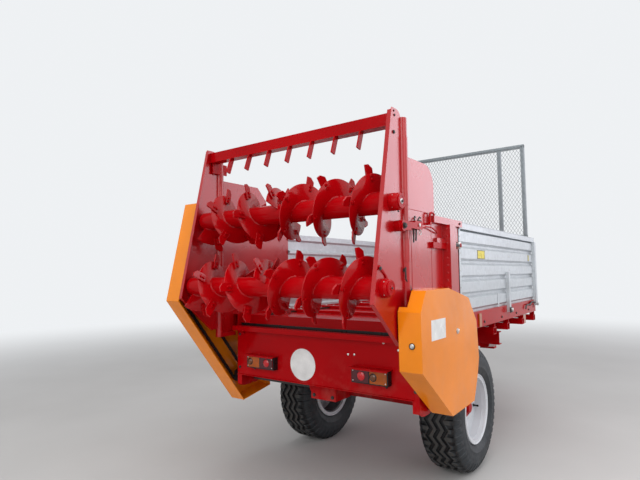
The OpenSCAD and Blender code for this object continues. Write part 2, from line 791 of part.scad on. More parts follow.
// The left outline goes round the three shafts of the chain drive
left_outline = [[upper_y - 45, upper_z + 116], [lower_y - 86, lower_z - 85], [drive_y - 32, drive_z - 160],
    [drive_y + 232, drive_z - 108], [330, 760], [-80, 1250], [upper_y + 130, upper_z + 126]];
left_inner = [[upper_y - 40, upper_z + 111], [lower_y - 80, lower_z - 84], [drive_y - 30, drive_z - 154],
    [drive_y + 227, drive_z - 104], [326, 758], [-84, 1249], [upper_y + 126, upper_z + 121]];
right_outline = [[-178, 1152], [94, 1156], [382, 1095], [500, 960], [524, 750], [490, 650], [427, 529],
    [108, 521], [-236, 784], [-242, 1055]];
right_inner = [[-176, 1148], [93, 1152], [380, 1091], [496, 958], [520, 750], [486, 652], [424, 533],
    [110, 525], [-232, 786], [-238, 1054]];
module guard_left() color(orange) placed() one_side(false) guard_shell(left_outline, left_inner);
// The right guard's rim is cut back where it crosses the side plate
module guard_right() color(orange) placed() one_side(true) difference() {
    guard_shell(right_outline, right_inner);
    block([guard_x0 - 1, -260, 1077], [guard_x0 + 42, -100, 1200]);
}

module lamp_housings() color(black) placed() both_sides() difference() {
    block([lamp_x1 - lamp_w, -40, lamp_z], [lamp_x1, -seat, lamp_z + lamp_h]);
    block([lamp_x1 - lamp_w + 6, -41, lamp_z + 6], [lamp_x1 - 6, -16, lamp_z + lamp_h - 6]);
}
// Amber lenses of the rear lamps and the reflectors on the sides
module lens_amber() color([1, 0.55, 0.1]) placed() both_sides() {
    block([lamp_x1 - lamp_w / 2 + 2, -42, lamp_z + 6.3], [lamp_x1 - 6.3, -16.3, lamp_z + lamp_h - 6.3]);
    block([wall_x + seat, side_lamp_y, rail_low_z + 4],
        [wall_x + 8, side_lamp_y + side_lamp_w, rail_low_z + 4 + side_lamp_h]);
    block([wall_x - 20, low_lamp_y, rail_low_z - low_lamp_h],
        [wall_x - 12, low_lamp_y + low_lamp_w, rail_low_z - seat]);
}
module lens_red() color([0.8, 0.02, 0.02]) placed() both_sides()
    block([lamp_x1 - lamp_w + 6.3, -42, lamp_z + 6.3],
        [lamp_x1 - lamp_w / 2 - 2, -16.3, lamp_z + lamp_h - 6.3]);
module round_sign() color("white") placed()
    translate([-84, -seat, 705]) rotate([90, 0, 0]) cylinder(h = 2, r = sign_r);
// A latch on each side of the body; the right one reaches round the post to an eye on the side plate
module latch() {
    block([wall_x + seat, latch_y0, clamp_z - 7], [wall_x + clamp_out, latch_y1, clamp_z - 7 + latch_h]);
}
module clamps() color(red) placed() {
    one_side(false) latch();
    union() {
        latch();
        block([wall_x + seat, post_y - 1, clamp_z - 7], [wall_x + clamp_out, latch_y0 + 1, clamp_z + 23]);
        block([plate_out_x + seat, clamp_y, clamp_z - 19], [wall_x + clamp_out, post_y - seat, clamp_z + 23]);
        bar_x(plate_out_x + seat, wall_x + clamp_out, clamp_y, clamp_z, clamp_r);
    }
}

// Tyre, rim and hub are turned about the axle, drawn as radius and place along it
module on_axle(right) { one_side(right) translate([tyre_x, axle_y, tyre_r]) rotate([0, 90, 0]) children(); }
bead_r = rim_r - 17;
module tyre() {
    half = tyre_w / 2;
    wall = 18;
    rotate_extrude() difference() {
        tyre_section(bead_r, tyre_r, half);
        tyre_section(bead_r - wall, tyre_r - wall, half - wall);
        for (x = [-33, 33]) translate([tyre_r - 9, x - 5]) square([12, 10]);
    }
}
// Section of a tyre between its bead and its tread, as radius and place along the axle
module tyre_section(low, high, half) {
    side = [[low, half - 28], [low + rim_r - bead_r + 3, half - 28], [low + 50, half - 8], [low + 80, half],
        [high - 70, half - 4],
        [high - 30, half - 14], [high - 6, half - 38], [high, half - 62]];
    polygon(concat(side, [for (i = [len(side) - 1 : -1 : 0]) [side[i][0], -side[i][1]]]));
}
module rim() {
    half = tyre_w / 2 - 28 + seat;
    well_r = bead_r - seat;
    rotate_extrude() union() {
        polygon([[well_r - 8, -half - 7], [well_r, -half - 7], [well_r, half + 7], [well_r - 8, half + 7]]);
        for (s = [-1, 1]) translate([well_r - 8, s * (half + 4) - 4]) square([rim_r - well_r + 8, 8]);
        polygon([[59 + seat, 0], [120, 0], [150, 20], [well_r - 4, 30], [well_r - 4, 38], [148, 28], [118, 8],
            [59 + seat, 8]]);
    }
}
hub_back = 70;
hub_out = 50;
stub_out = 40;
module hub() {
    difference() {
        union() {
            translate([0, 0, -hub_back]) cylinder(h = hub_back - seat, r = 62);
            translate([0, 0, -seat - 1]) cylinder(h = hub_out, r = 59);
        }
        translate([0, 0, -hub_back - 10]) cylinder(h = hub_back + stub_out + 12, r = stub_r + fit);
    }
}
module tyre_left() color(black) placed() on_axle(false) tyre();
module tyre_right() color(black) placed() on_axle(true) tyre();
module rim_left() color("white") placed() on_axle(false) rim();
module rim_right() color("white") placed() on_axle(true) rim();
module hub_left() color(red) placed() on_axle(false) hub();
module hub_right() color(red) placed() on_axle(true) hub();

chassis_frame();
rear_panel();
drawbar();
towing_eye();
jack_sleeve();
axle_beam();
floor_plate();
conveyor();
conveyor_shaft();
side_wall_left();
side_wall_right();
rear_side_left();
rear_side_right();
wall_posts();
front_wall();
screen_frame();
screen_mesh();
beater_plate_left();
beater_plate_right();
top_beam();
bearings_left();
bearings_right();
guard_left();
guard_right();
gearbox();
pto_cone();
drive_chains();
lamp_housings();
lens_amber();
lens_red();
round_sign();
clamps();
lower_tube();
lower_flights();
upper_tube();
upper_flights();
cross_shaft();
input_shaft();
jack_leg();
tyre_left();
rim_left();
hub_left();
tyre_right();
rim_right();
hub_right();
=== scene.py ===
"""Finishes, small fittings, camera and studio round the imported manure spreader."""
import json
from math import atan, atan2, cos, hypot, pi, radians, sin, sqrt, tan

import bmesh
import bpy
from mathutils import Matrix, Vector


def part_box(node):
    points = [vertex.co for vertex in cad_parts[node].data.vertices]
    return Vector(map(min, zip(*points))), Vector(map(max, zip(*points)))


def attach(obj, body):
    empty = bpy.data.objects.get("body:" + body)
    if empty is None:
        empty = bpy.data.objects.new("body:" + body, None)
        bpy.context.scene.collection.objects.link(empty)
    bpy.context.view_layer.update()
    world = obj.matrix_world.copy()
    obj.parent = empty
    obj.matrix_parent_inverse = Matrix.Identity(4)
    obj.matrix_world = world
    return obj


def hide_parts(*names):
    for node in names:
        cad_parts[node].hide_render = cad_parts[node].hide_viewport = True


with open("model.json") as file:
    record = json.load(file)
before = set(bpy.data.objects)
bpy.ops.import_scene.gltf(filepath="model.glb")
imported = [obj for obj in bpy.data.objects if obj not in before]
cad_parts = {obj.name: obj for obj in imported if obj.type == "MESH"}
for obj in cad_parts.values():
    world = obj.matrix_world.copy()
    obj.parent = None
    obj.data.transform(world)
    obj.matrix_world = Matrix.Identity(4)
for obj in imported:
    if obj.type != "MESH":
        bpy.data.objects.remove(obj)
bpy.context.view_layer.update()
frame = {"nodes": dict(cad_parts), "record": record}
scene = bpy.context.scene

# Millimetres, measured as in the drawings: X from the middle, Y from the rear panel's face, Z from the ground
MM = 0.001
SEAT = 0.3
PANEL_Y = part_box("round_sign")[1][1] / MM + SEAT
X, Y, Z = Vector((1, 0, 0)), Vector((0, 1, 0)), Vector((0, 0, 1))
SIDES = (1, -1)

# Sizes that the pieces share with the drawings
PLATE_OUT_X, WALL_X, GUARD_X = 657.0, 666.0, 780.0
UPPER, LOWER, DRIVE = (-260.0, 1564.0), (-354.0, 1168.0), (130.0, 560.0)
FLOOR_Z, CONVEYOR_R, CONVEYOR_Y0, CONVEYOR_Y1, CHAIN_X = 972.0, 46.0, 100.0, 2365.0, 430.0
AXLE_Y, TYRE_R, TRACK = 814.0, 380.0, 1090.0
BOX_Y1, WALL_TOP_Z, SCREEN_TOP_Z, SCREEN_X, SCREEN_TUBE = 2455.0, 1536.0, 2409.0, 627.0, 32.0
POST_Y, PIPE_X, PIPE_Y, PIPE_R = -147.0, 655.0, -130.0, 22.8
SIDE_POST_X, SIDE_POST_Y0, SIDE_POST_Y1 = 710.0, 322.0, 406.0
LAMP_X1, LAMP_W, LAMP_H, LAMP_Z, LENS_Y = 498.0, 220.0, 78.0, 655.0, -42.0
# Outer face of what lies flat on the walls
ON_WALL_X = WALL_X + 0.2


def at(x, y, z):
    return Vector((x * MM, (y + PANEL_Y) * MM, z * MM))


def degrees(first, step, count):
    """Angles in radians, from a first one in equal steps, all given in degrees."""
    return [radians(first + step * i) for i in range(count)]


def polar(x, centre, radius, a):
    """A point at an angle round a (y, z) centre, at a place along X."""
    return (x, centre[0] + radius * cos(a), centre[1] + radius * sin(a))


def arc(centre, radius, angles):
    """Points round a centre at these angles, all in one plane."""
    return [(centre[0] + radius * cos(a), centre[1] + radius * sin(a)) for a in angles]


def mirrored(side, points):
    """Points of the right side, or the same ones on the left."""
    return [(side * x, y, z) for x, y, z in points]


def new_object(name, data):
    made = bpy.data.objects.new(name, data)
    scene.collection.objects.link(made)
    return made


# Materials


def scaled(colour, factor):
    return tuple(part * factor for part in colour)


# Sockets of the colour mix, which share their names with other ones
MIX_A, MIX_B, MIX_RESULT = 6, 7, 2


class Tree:
    """The nodes of a material or world, with short calls for those that the finishes share."""

    def __init__(self, owner):
        self.owner = owner
        owner.use_nodes = True
        self.nodes = owner.node_tree.nodes
        self.shader = self.nodes.get("Principled BSDF")
        self.place = self.node("TexCoord")["Object"]

    def put(self, value, socket):
        if hasattr(value, "links"):
            self.owner.node_tree.links.new(value, socket)
        elif value is not None:
            socket.default_value = (*value, 1.0) if socket.type == "RGBA" else value

    def node(self, kind, inputs=None, **settings):
        """Makes a node with these inputs, by name or number, and gives its outputs."""
        node = self.nodes.new("ShaderNode" + kind)
        for key, value in settings.items():
            setattr(node, key, value)
        for key, value in (inputs or {}).items():
            self.put(value, node.inputs[key])
        return node.outputs

    def noise(self, scale, detail=3.0, rough=0.5, stretch=None):
        place = self.place
        if stretch:
            place = self.node("Mapping", {"Vector": place, "Scale": stretch})["Vector"]
        values = {"Scale": scale, "Detail": detail, "Roughness": rough, "Vector": place}
        return self.node("TexNoise", values)["Fac"]

    def spangle(self, scale):
        """Two random numbers for each of the cells that crystals of zinc make."""
        cells = self.node("TexVoronoi", {"Scale": scale, "Vector": self.place})["Color"]
        return self.node("SeparateColor", {0: cells})[:2]

    def along(self, axis):
        """The place along one axis, in metres."""
        return self.node("SeparateXYZ", {0: self.place})[axis]

    def range(self, value, low, high, to_low=0.0, to_high=1.0, how="LINEAR"):
        limits = {"From Min": low, "From Max": high, "To Min": to_low, "To Max": to_high}
        return self.node("MapRange", {"Value": value, **limits}, interpolation_type=how)["Result"]

    def math(self, how, a, b=0.0):
        return self.node("Math", {0: a, 1: b}, operation=how)["Value"]

    def times(self, a, b):
        return self.math("MULTIPLY", a, b)

    def mix(self, factor, a, b):
        return self.node("Mix", {"Factor": factor, MIX_A: a, MIX_B: b}, data_type="RGBA")[MIX_RESULT]

    def bump(self, height, distance, strength=1.0, below=None):
        values = {"Strength": strength, "Distance": distance, "Height": height, "Normal": below}
        return self.node("Bump", values)["Normal"]

    def edges(self, radius):
        """1 on sharp edges and 0 on flats, from the rounded normal's turn away from the true one."""
        rounded = self.node("Bevel", {"Radius": radius}, samples=4)["Normal"]
        true = self.node("NewGeometry")["Normal"]
        dot = self.node("VectorMath", {0: rounded, 1: true}, operation="DOT_PRODUCT")["Value"]
        return self.range(dot, 1.0, 0.75)

    def finish(self, colour, roughness, normal=None, metallic=0.0, coat=0.0, coat_rough=0.1, spec=0.5):
        values = {"Base Color": colour, "Roughness": roughness, "Normal": normal, "Metallic": metallic,
                  "Coat Weight": coat, "Coat Roughness": coat_rough, "Specular IOR Level": spec}
        for key, value in values.items():
            self.put(value, self.shader.inputs[key])


finishes = {}


def new_finish(name):
    finishes[name] = bpy.data.materials.new(name)
    return Tree(finishes[name])


RED, ORANGE = (0.45, 0.0010, 0.0035), (0.96, 0.270, 0.004)
RED_PRIMER, ORANGE_PRIMER, ROAD_DUST = (0.30, 0.20, 0.18), (0.45, 0.40, 0.34), (0.42, 0.36, 0.29)
# Heights in metres up to which road dust lies thick, and above which there is none
DUST_Z0, DUST_Z1 = 0.30, 0.80
# Metres from the axle between which a tyre turns to its tread's dusty colour, and the painted shade in its
# grooves begins and ends
TREAD_AT, GROOVE_TOP_AT, GROOVE_FOOT_AT = (0.3775, 0.3795), (0.3765, 0.3745), (0.355, 0.365)
# Metres from the middle between which the painted shade on the rim's inner side begins and ends
RIM_SHADE_FROM, RIM_SHADE_TO = (0.446, 0.452), (0.546, 0.540)


def gloss_paint(name, colour, worn=RED_PRIMER, spec=0.08, coat=0.02, wave=0.004, rough=(0.13, 0.24)):
    """Sprayed enamel: orange peel, slow shade variation, rubbed edges and a little dust low down."""
    t = new_finish(name)
    shade = t.mix(t.range(t.noise(2.3, 4.0), 0.3, 0.7), colour, scaled(colour, 0.80))
    rubbed = t.times(t.edges(0.004), t.range(t.noise(38.0, 5.0, 0.65), 0.60, 0.75))
    shade = t.mix(rubbed, shade, worn)
    low_down = t.range(t.along("Z"), DUST_Z1, DUST_Z0)
    dirty = t.times(low_down, t.range(t.noise(9.0, 6.0, 0.6), 0.5, 0.9, 0.0, 0.35))
    shade = t.mix(dirty, shade, ROAD_DUST)
    matt = t.math("ADD", t.range(t.noise(5.0, 4.0), 0.25, 0.8, *rough), t.times(dirty, 0.5))
    skin = t.bump(t.noise(420.0, 2.0), 0.0004, 0.3)
    skin = t.bump(t.noise(5.0, 2.0), wave, 0.25, skin)
    t.finish(shade, matt, skin, coat=coat, coat_rough=rough[0] * 0.6, spec=spec)


def zinc(name, colour=(0.52, 0.55, 0.575), spangle=38.0):
    """Hot-dip galvanised sheet: large pale spangle, dull streaks and a fine grain."""
    t = new_finish(name)
    first, second = t.spangle(spangle)
    shade = t.mix(first, colour, scaled(colour, 1.14))
    streaks = t.range(t.noise(3.0, 5.0, 0.6, (1.0, 0.35, 2.0)), 0.42, 0.75, 0.0, 0.75)
    shade = t.mix(streaks, shade, scaled(colour, 0.84))
    skin = t.bump(t.noise(160.0, 3.0), 0.0005, 0.3)
    t.finish(shade, t.range(second, 0.0, 1.0, 0.34, 0.50), skin, metallic=0.45, spec=0.4)


def steel(name, colour, rough_low, rough_high, metallic=0.9):
    """Bare or oily steel with small scratches and stains."""
    t = new_finish(name)
    shade = t.mix(t.range(t.noise(30.0, 6.0, 0.6), 0.35, 0.75), colour, scaled(colour, 0.6))
    rough = t.range(t.noise(70.0, 5.0), 0.3, 0.7, rough_low, rough_high)
    t.finish(shade, rough, t.bump(t.noise(240.0, 3.0), 0.0004, 0.4), metallic=metallic)


def rubber(name):
    """Tyre rubber: blue-black walls, a dusty brown tread, and painted shade near black in the grooves."""
    t = new_finish(name)
    shade = t.mix(t.range(t.noise(14.0, 6.0, 0.6), 0.35, 0.75), (0.016, 0.019, 0.023), (0.034, 0.040, 0.046))
    shade = t.mix(t.range(t.noise(5.0, 5.0, 0.65), 0.52, 0.85, 0.0, 0.35), shade, (0.12, 0.11, 0.10))
    ahead = t.math("SUBTRACT", t.along("Y"), (AXLE_Y + PANEL_Y) * MM)
    up = t.math("SUBTRACT", t.along("Z"), TYRE_R * MM)
    out = t.math("SQRT", t.math("ADD", t.times(ahead, ahead), t.times(up, up)))
    tread = t.times(t.range(out, *TREAD_AT), t.range(t.noise(7.0, 4.0), 0.2, 0.8, 0.5, 1.0))
    shade = t.mix(tread, shade, (0.052, 0.047, 0.042))
    # Painted shade: between these radii the grooves are turned near black
    groove_shade = t.times(t.range(out, *GROOVE_TOP_AT), t.range(out, *GROOVE_FOOT_AT))
    shade = t.mix(groove_shade, shade, (0.004, 0.004, 0.005))
    rough = t.range(t.noise(40.0, 3.0), 0.3, 0.7, 0.48, 0.7)
    t.finish(shade, rough, t.bump(t.noise(330.0, 3.0), 0.0006, 0.5), spec=0.4)


def plastic(name, colour, rough=0.35, coat=0.0, spec=0.3):
    """Moulded plastic with a faint grain."""
    t = new_finish(name)
    shade = t.mix(t.range(t.noise(12.0, 4.0), 0.3, 0.75), colour, scaled(colour, 0.7))
    matt = t.range(t.noise(25.0), 0.3, 0.7, rough * 0.8, rough * 1.2)
    t.finish(shade, matt, t.bump(t.noise(200.0, 2.0), 0.0003, 0.3), coat=coat, spec=spec)


def rim_paint(name):
    """White rim enamel with patches of road film, and painted shade darkening the side towards the frame."""
    t = new_finish(name)
    shade = t.mix(t.range(t.noise(2.6, 4.0), 0.3, 0.7), (0.74, 0.76, 0.79), (0.62, 0.64, 0.68))
    shade = t.mix(t.range(t.noise(26.0, 5.0, 0.65), 0.60, 0.80, 0.0, 0.5), shade, (0.42, 0.40, 0.38))
    # Painted shade: by its place along X, the rim's side towards the frame is turned near black
    beside = t.math("ABSOLUTE", t.along("X"))
    shaded_side = t.times(t.range(beside, *RIM_SHADE_FROM), t.range(beside, *RIM_SHADE_TO))
    shade = t.mix(t.times(shaded_side, 0.92), shade, (0.030, 0.034, 0.042))
    skin = t.bump(t.noise(300.0, 2.0), 0.0004, 0.3)
    t.finish(shade, t.range(t.noise(6.0, 4.0), 0.25, 0.8, 0.20, 0.34), skin, coat=0.2, spec=0.4)


gloss_paint("red_paint", RED)
gloss_paint("red_sheet", RED, spec=0.3, coat=0.6, wave=0.006, rough=(0.24, 0.34))
gloss_paint("red_flights", RED, spec=0.12, coat=0.25)
gloss_paint("orange_paint", ORANGE, ORANGE_PRIMER, spec=0.25, coat=0.22, wave=0.03)
rim_paint("rim_paint")
zinc("galvanised")
# A darker copy of the galvanised finish, which dims the screen's frame and strands
zinc("darker_zinc", (0.20, 0.225, 0.24), 60.0)
steel("black_steel", (0.055, 0.052, 0.050), 0.35, 0.6, 0.6)
steel("bright_steel", (0.62, 0.61, 0.59), 0.22, 0.42, 0.95)
plastic("cone_plastic", (0.80, 0.58, 0.03), 0.4)
plastic("lamp_black", (0.012, 0.012, 0.013), 0.3)
plastic("amber_lens", (0.44, 0.090, 0.002), 0.12, 0.4)
plastic("red_lens", (0.58, 0.004, 0.010), 0.12, 0.5)
plastic("sign_white", (0.86, 0.86, 0.85), 0.25, 0.3)
rubber("tyre_rubber")
plastic("bulb_brown", (0.16, 0.040, 0.004), 0.15, 0.6)
plastic("lens_maroon", (0.075, 0.003, 0.008), 0.15, 0.5)
plastic("sticker_yellow", (0.86, 0.70, 0.03), 0.3)
# Nodes whose finish differs from their slot's usual one
FINISH_OF = {
    "screen_frame": "darker_zinc",
    **{kind + side: "red_sheet" for kind in ("beater_plate", "rear_side") for side in ("_left", "_right")},
}


def slot_of(node):
    given = node.data.materials[0].name
    return next(row["slot"] for row in frame["record"]["materials"] if row["slot"] in given)


# Making of pieces


def across(axis):
    """Two directions square to an axis."""
    axis = Vector(axis).normalized()
    first = axis.cross(Z if abs(axis.z) < 0.9 else X).normalized()
    return first, axis.cross(first).normalized()


def circle(centre, u, v, radius, sides):
    """Points round a centre, in the plane of two directions."""
    turns = [2 * pi * i / sides for i in range(sides)]
    return [centre + radius * (cos(a) * u + sin(a) * v) for a in turns]


class Shape:
    """Collects the solids of one piece, in the drawings' millimetres."""

    def __init__(self):
        self.bm = bmesh.new()

    def solid(self, rings, closed=False):
        """Joins rings of equal length into a skin, with end faces unless the rings close on themselves."""
        made = [[self.bm.verts.new(at(*p)) for p in ring] for ring in rings]
        count = len(made[0])
        for a, b in zip(made, made[1:] + (made[:1] if closed else [])):
            for i in range(count):
                j = (i + 1) % count
                self.bm.faces.new((a[i], a[j], b[j], b[i]))
        if not closed:
            self.bm.faces.new(made[0])
            self.bm.faces.new(made[-1])

    def column(self, outline, z0, z1):
        """An outline of (x, y) points between two heights."""
        self.solid([[(x, y, z) for x, y in outline] for z in (z0, z1)])

    def prism(self, outline, x0, x1):
        """A side outline of (y, z) points between two places along X."""
        self.solid([[(x, y, z) for y, z in outline] for x in (x0, x1)])

    def block(self, lo, hi):
        (x0, y0, z0), (x1, y1, z1) = lo, hi
        self.column([(x0, y0), (x1, y0), (x1, y1), (x0, y1)], z0, z1)

    def slab(self, side, x0, x1, y0, y1, z0, z1):
        """A block of the right side, or the same one on the left."""
        lo, hi = sorted((side * x0, side * x1))
        self.block((lo, y0, z0), (hi, y1, z1))

    def lathe(self, place, axis, profile, sides=24):
        """A turned form; profile lists (distance along the axis, radius)."""
        axis = Vector(axis).normalized()
        u, v = across(axis)
        place = Vector(place)
        self.solid([circle(place + axis * along, u, v, radius, sides) for along, radius in profile])

    def ring(self, place, axis, big, small, steps=32, sides=10):
        """A torus round an axis."""
        axis = Vector(axis).normalized()
        u, v = across(axis)
        rings = []
        for i in range(steps):
            a = 2 * pi * i / steps
            out = cos(a) * u + sin(a) * v
            rings.append(circle(Vector(place) + big * out, out, axis, small, sides))
        self.solid(rings, closed=True)

    def rod(self, points, radius, sides=10, ripple=1.0):
        """A round bar along a route, every other point of it thinner by the ripple."""
        points = [Vector(p) for p in points]
        rings = []
        u = None
        for i, p in enumerate(points):
            ahead = (points[min(i + 1, len(points) - 1)] - points[max(i - 1, 0)]).normalized()
            if u is None:
                u = across(ahead)[0]
            u = (u - ahead * u.dot(ahead)).normalized()
            rings.append(circle(p, u, ahead.cross(u), radius * (1.0 if i % 2 else ripple), sides))
        self.solid(rings)

    def bolt(self, place, axis, size=8.0, washer=True):
        """A hexagon head of a bolt of this diameter, on its washer, seated at a place on a face."""
        axis = Vector(axis).normalized()
        base = Vector(place)
        if washer:
            self.lathe(base, axis, [(0, size * 1.1), (size * 0.16, size * 1.1)], 18)
            base = base + axis * (size * 0.16)
        head = size * 0.92
        self.lathe(base, axis, [(0, head), (size * 0.5, head), (size * 0.62, head * 0.82)], 6)

    def weld(self, points, radius=4.0, spacing=6):
        """A bead of weld with its ripples along a route."""
        route = [Vector(p) for p in points]
        fine = []
        for a, b in zip(route, route[1:]):
            steps = max(2, int((b - a).length / spacing))
            fine += [a.lerp(b, i / steps) for i in range(steps)]
        fine.append(route[-1])
        self.rod(fine, radius, 6, 0.72)

    def done(self, name, finish, body="chassis", smooth=40.0, bevel=0.0, replaces=()):
        """Makes the object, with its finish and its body."""
        bmesh.ops.recalc_face_normals(self.bm, faces=self.bm.faces)
        limit = radians(smooth)
        for edge in self.bm.edges:
            edge.smooth = len(edge.link_faces) == 2 and edge.calc_face_angle(0.0) < limit
        for face in self.bm.faces:
            face.smooth = smooth > 0
        mesh = bpy.data.meshes.new(name)
        self.bm.to_mesh(mesh)
        self.bm.free()
        piece = new_object(name, mesh)
        mesh.materials.append(finishes[finish])
        if bevel:
            edge = piece.modifiers.new("edge", "BEVEL")
            edge.width = bevel * MM
            edge.segments = 2
            edge.limit_method = "ANGLE"
            edge.harden_normals = True
        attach(piece, body)
        if replaces:
            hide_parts(*replaces)


def shapes(count):
    return [Shape() for _ in range(count)]


# Beaters: smooth helical flights with knives bolted on, in the place of the plain ones
TUBE_R, TUBE_END_X, TUBE_WELD_R = 54.0, 631.5, 45.0
FLIGHT_R, FLIGHT_T, PITCH, TURNS, FLIGHT_END_X, FLIGHT_STEPS = 146.0, 6.0, 211.0, 2.8, 598.0, 200
KNIFE_T, KNIFE_W, KNIFE_ROOT, KNIFE_TIP, KNIFE_MID = 8.0, 46.0, 104.0, 192.0, 125.0
KNIFE_COUNT, KNIFE_STEP, FIRST_KNIFE, KNIFE_BOLTS = 13, 77.0, 54.0, (118, 137)
# Side of each flight, and the angle at its outer end
FLIGHT_ENDS = ((1, 50.0), (-1, 230.0))


def flight_section():
    """The cut through a flight, its foot spread by the weld: (radius, place along X)."""
    half = FLIGHT_T / 2
    front = [(TUBE_R + SEAT, 8.0), (TUBE_R + 4, 4.6), (TUBE_R + 9, half),
             (FLIGHT_R - 1, half), (FLIGHT_R, half - 1)]
    return front + [(r, -x) for r, x in reversed(front)]


def knife_outline():
    """A knife with one slanting corner at its tip: (distance out, distance beside the middle)."""
    w = KNIFE_W / 2
    tip = sqrt(KNIFE_TIP ** 2 - w ** 2)
    return [(KNIFE_ROOT, -w + 3), (KNIFE_ROOT + 3, -w), (tip - 22, -w), (tip, 0), (tip, w),
            (KNIFE_ROOT + 3, w), (KNIFE_ROOT, w - 3)]


def make_flights(name, shaft):
    body = name + "_beater"
    skin, knives, bolts = shapes(3)
    tilt = atan(PITCH / (2 * pi * KNIFE_MID))
    twist = PITCH / (2 * pi) * (1 / KNIFE_ROOT - 1 / KNIFE_MID) * KNIFE_W / 2
    face = FLIGHT_T / 2 + SEAT + twist
    for side, end_angle in FLIGHT_ENDS:
        rings = []
        for i in range(FLIGHT_STEPS + 1):
            turned = TURNS * 360 * i / FLIGHT_STEPS
            a = radians(end_angle + turned)
            x = FLIGHT_END_X - turned / 360 * PITCH
            rings.append([polar(side * (x + dx), shaft, r, a) for r, dx in flight_section()])
        skin.solid(rings)
        for k in range(KNIFE_COUNT):
            turned = FIRST_KNIFE + k * KNIFE_STEP
            a = radians(end_angle + turned)
            radial = Vector((0, cos(a), sin(a)))
            around = Vector((0, -sin(a), cos(a)))
            normal = cos(tilt) * X + sin(tilt) * around
            tangent = cos(tilt) * around - sin(tilt) * X
            centre = Vector((FLIGHT_END_X - turned / 360 * PITCH, *shaft))

            def spot(out, beside, off):
                p = centre + radial * out + tangent * beside + normal * off
                return Vector((side * p.x, p.y, p.z))

            knives.solid([[spot(out, beside, -face - depth) for out, beside in knife_outline()]
                          for depth in (0, KNIFE_T)])
            for out in KNIFE_BOLTS:
                head = spot(out, 0, -face - KNIFE_T)
                inward = (spot(out, 0, -face - KNIFE_T - 10) - head).normalized()
                bolts.bolt(head, inward, 9.0)
                bolts.bolt(spot(out, 0, FLIGHT_T / 2 + 0.4), -inward, 9.0, washer=False)
    for side in SIDES:
        skin.weld([polar(side * TUBE_END_X, shaft, TUBE_WELD_R, a) for a in degrees(0, 10, 37)], 3.0)
    skin.done(name + "_skin", "red_flights", body, 50, replaces=(name + "_flights",))
    knives.done(name + "_knives", "red_flights", body, 20, bevel=1.2)
    bolts.done(name + "_bolts", "red_paint", body, 20)


# Each shaft's bearings: centre, the foot's and the cap's radius, how far the right one reaches, and whether
# the disc on its cap is painted
BEARINGS = ((UPPER, 42, 33, 52, False), (LOWER, 44, 35, 40, True))


def make_bearings():
    """Sleeves, caps, discs, rings and grease nipples of the beaters' bearings."""
    red, bright, dark = shapes(3)
    for (y, z), foot_r, cap_r, reach, painted in BEARINGS:
        x = PLATE_OUT_X + 14
        red.lathe((x, y, z), X, [(0, 41), (reach - 24, 41), (reach - 21, 39.5), (reach - 20, 36)], 48)
        x = PLATE_OUT_X + reach
        red.lathe((x - 6, y, z), X, [(0, 34), (5, 34), (7, 32.5), (7.2, 26), (5.6, 24), (5.6, 0.5)], 48)
        disc = red if painted else bright
        disc.lathe((x - 0.6, y, z), X, [(0, 13), (2.4, 12), (3, 10), (3.1, 0.4)], 28)
        dark.bolt((x + 2.4, y, z), X, 5.0 if painted else 7.0)
        for side in SIDES:
            red.ring((side * (PLATE_OUT_X + 16), y, z), X * side, cap_r + 0.6, 2.4, 40, 8)
            for a in degrees(45, 90, 4):
                spot = polar(side * (PLATE_OUT_X + 16.2), (y, z), foot_r - 4.5, a)
                bright.lathe(spot, X * side, [(0, 4.4), (3.2, 4.4), (4.2, 3.2)], 6)
    for side, reach in ((1, 30), (-1, 24)):
        y, z = UPPER
        nipple = (side * (PLATE_OUT_X + reach), y + 4, z - 32)
        dark.lathe(nipple, (0, 0.15, -1), [(0, 5), (6, 5), (7, 3.4), (13, 3.4), (14, 4.4), (17, 3)], 10)
    red.done("bearing_caps", "red_paint", smooth=30)
    bright.done("bearing_discs", "bright_steel", smooth=30)
    dark.done("bearing_bolts", "black_steel", smooth=30)


def make_roller_chain(shape, x, first, second, radius, pitch, plate_h, gap, plate_t):
    """Links round two equal wheels: pairs of plates, inner and outer in turn, and rollers between."""
    (y0, z0), (y1, z1) = first, second
    length = hypot(y1 - y0, z1 - z0)
    lean = atan2(z1 - z0, y1 - y0)
    loop = 2 * length + 2 * pi * radius
    count = int(round(loop / pitch / 2)) * 2
    pitch = loop / count

    def along(s):
        """A point of the loop, whose second half is the first one turned round."""
        second, s = divmod(s % loop, loop / 2)
        a = (s - length) / radius - pi / 2
        p, q = (s, -radius) if s < length else (length + radius * cos(a), radius * sin(a))
        if second:
            p, q = length - p, -q
        return (y0 + p * cos(lean) - q * sin(lean), z0 + p * sin(lean) + q * cos(lean))

    for i in range(count):
        a, b = along(i * pitch), along((i + 1) * pitch)
        angle = atan2(b[1] - a[1], b[0] - a[0])
        r = plate_h / 2
        outline = []
        for centre, start in ((b, -90), (a, 90)):
            outline += arc(centre, r, [angle + w for w in degrees(start, 60, 4)])
        off = gap / 2 + (plate_t + SEAT if i % 2 else 0.0)
        for s in SIDES:
            shape.prism(outline, *sorted((x + s * off, x + s * (off + plate_t))))
        pin_out = plate_t * 2.4
        shape.lathe((x - gap / 2 - pin_out, *a), X, [(0, r * 0.42), (gap + 2 * pin_out, r * 0.42)], 8)
        shape.lathe((x - gap / 2, *a), X, [(0, r * 0.74), (gap, r * 0.74)], 10)


# Drive chains behind the left guard: place along X and the two wheels that each goes round
DRIVE_CHAINS = ((-745.0, DRIVE, LOWER), (-712.0, LOWER, UPPER))
# Links: radius of the loop's ends, pitch, height of the plates, gap between them, and their thickness
DRIVE_LINKS, FLOOR_LINKS = (47.3, 25.4, 14.0, 8.0, 2.0), (CONVEYOR_R + 6.0, 38.0, 11.6, 6.0, 2.2)


def make_drive_chains():
    chains = Shape()
    for x, first, second in DRIVE_CHAINS:
        make_roller_chain(chains, x, first, second, *DRIVE_LINKS)
    chains.done("drive_chain_links", "black_steel", replaces=("drive_chains",))


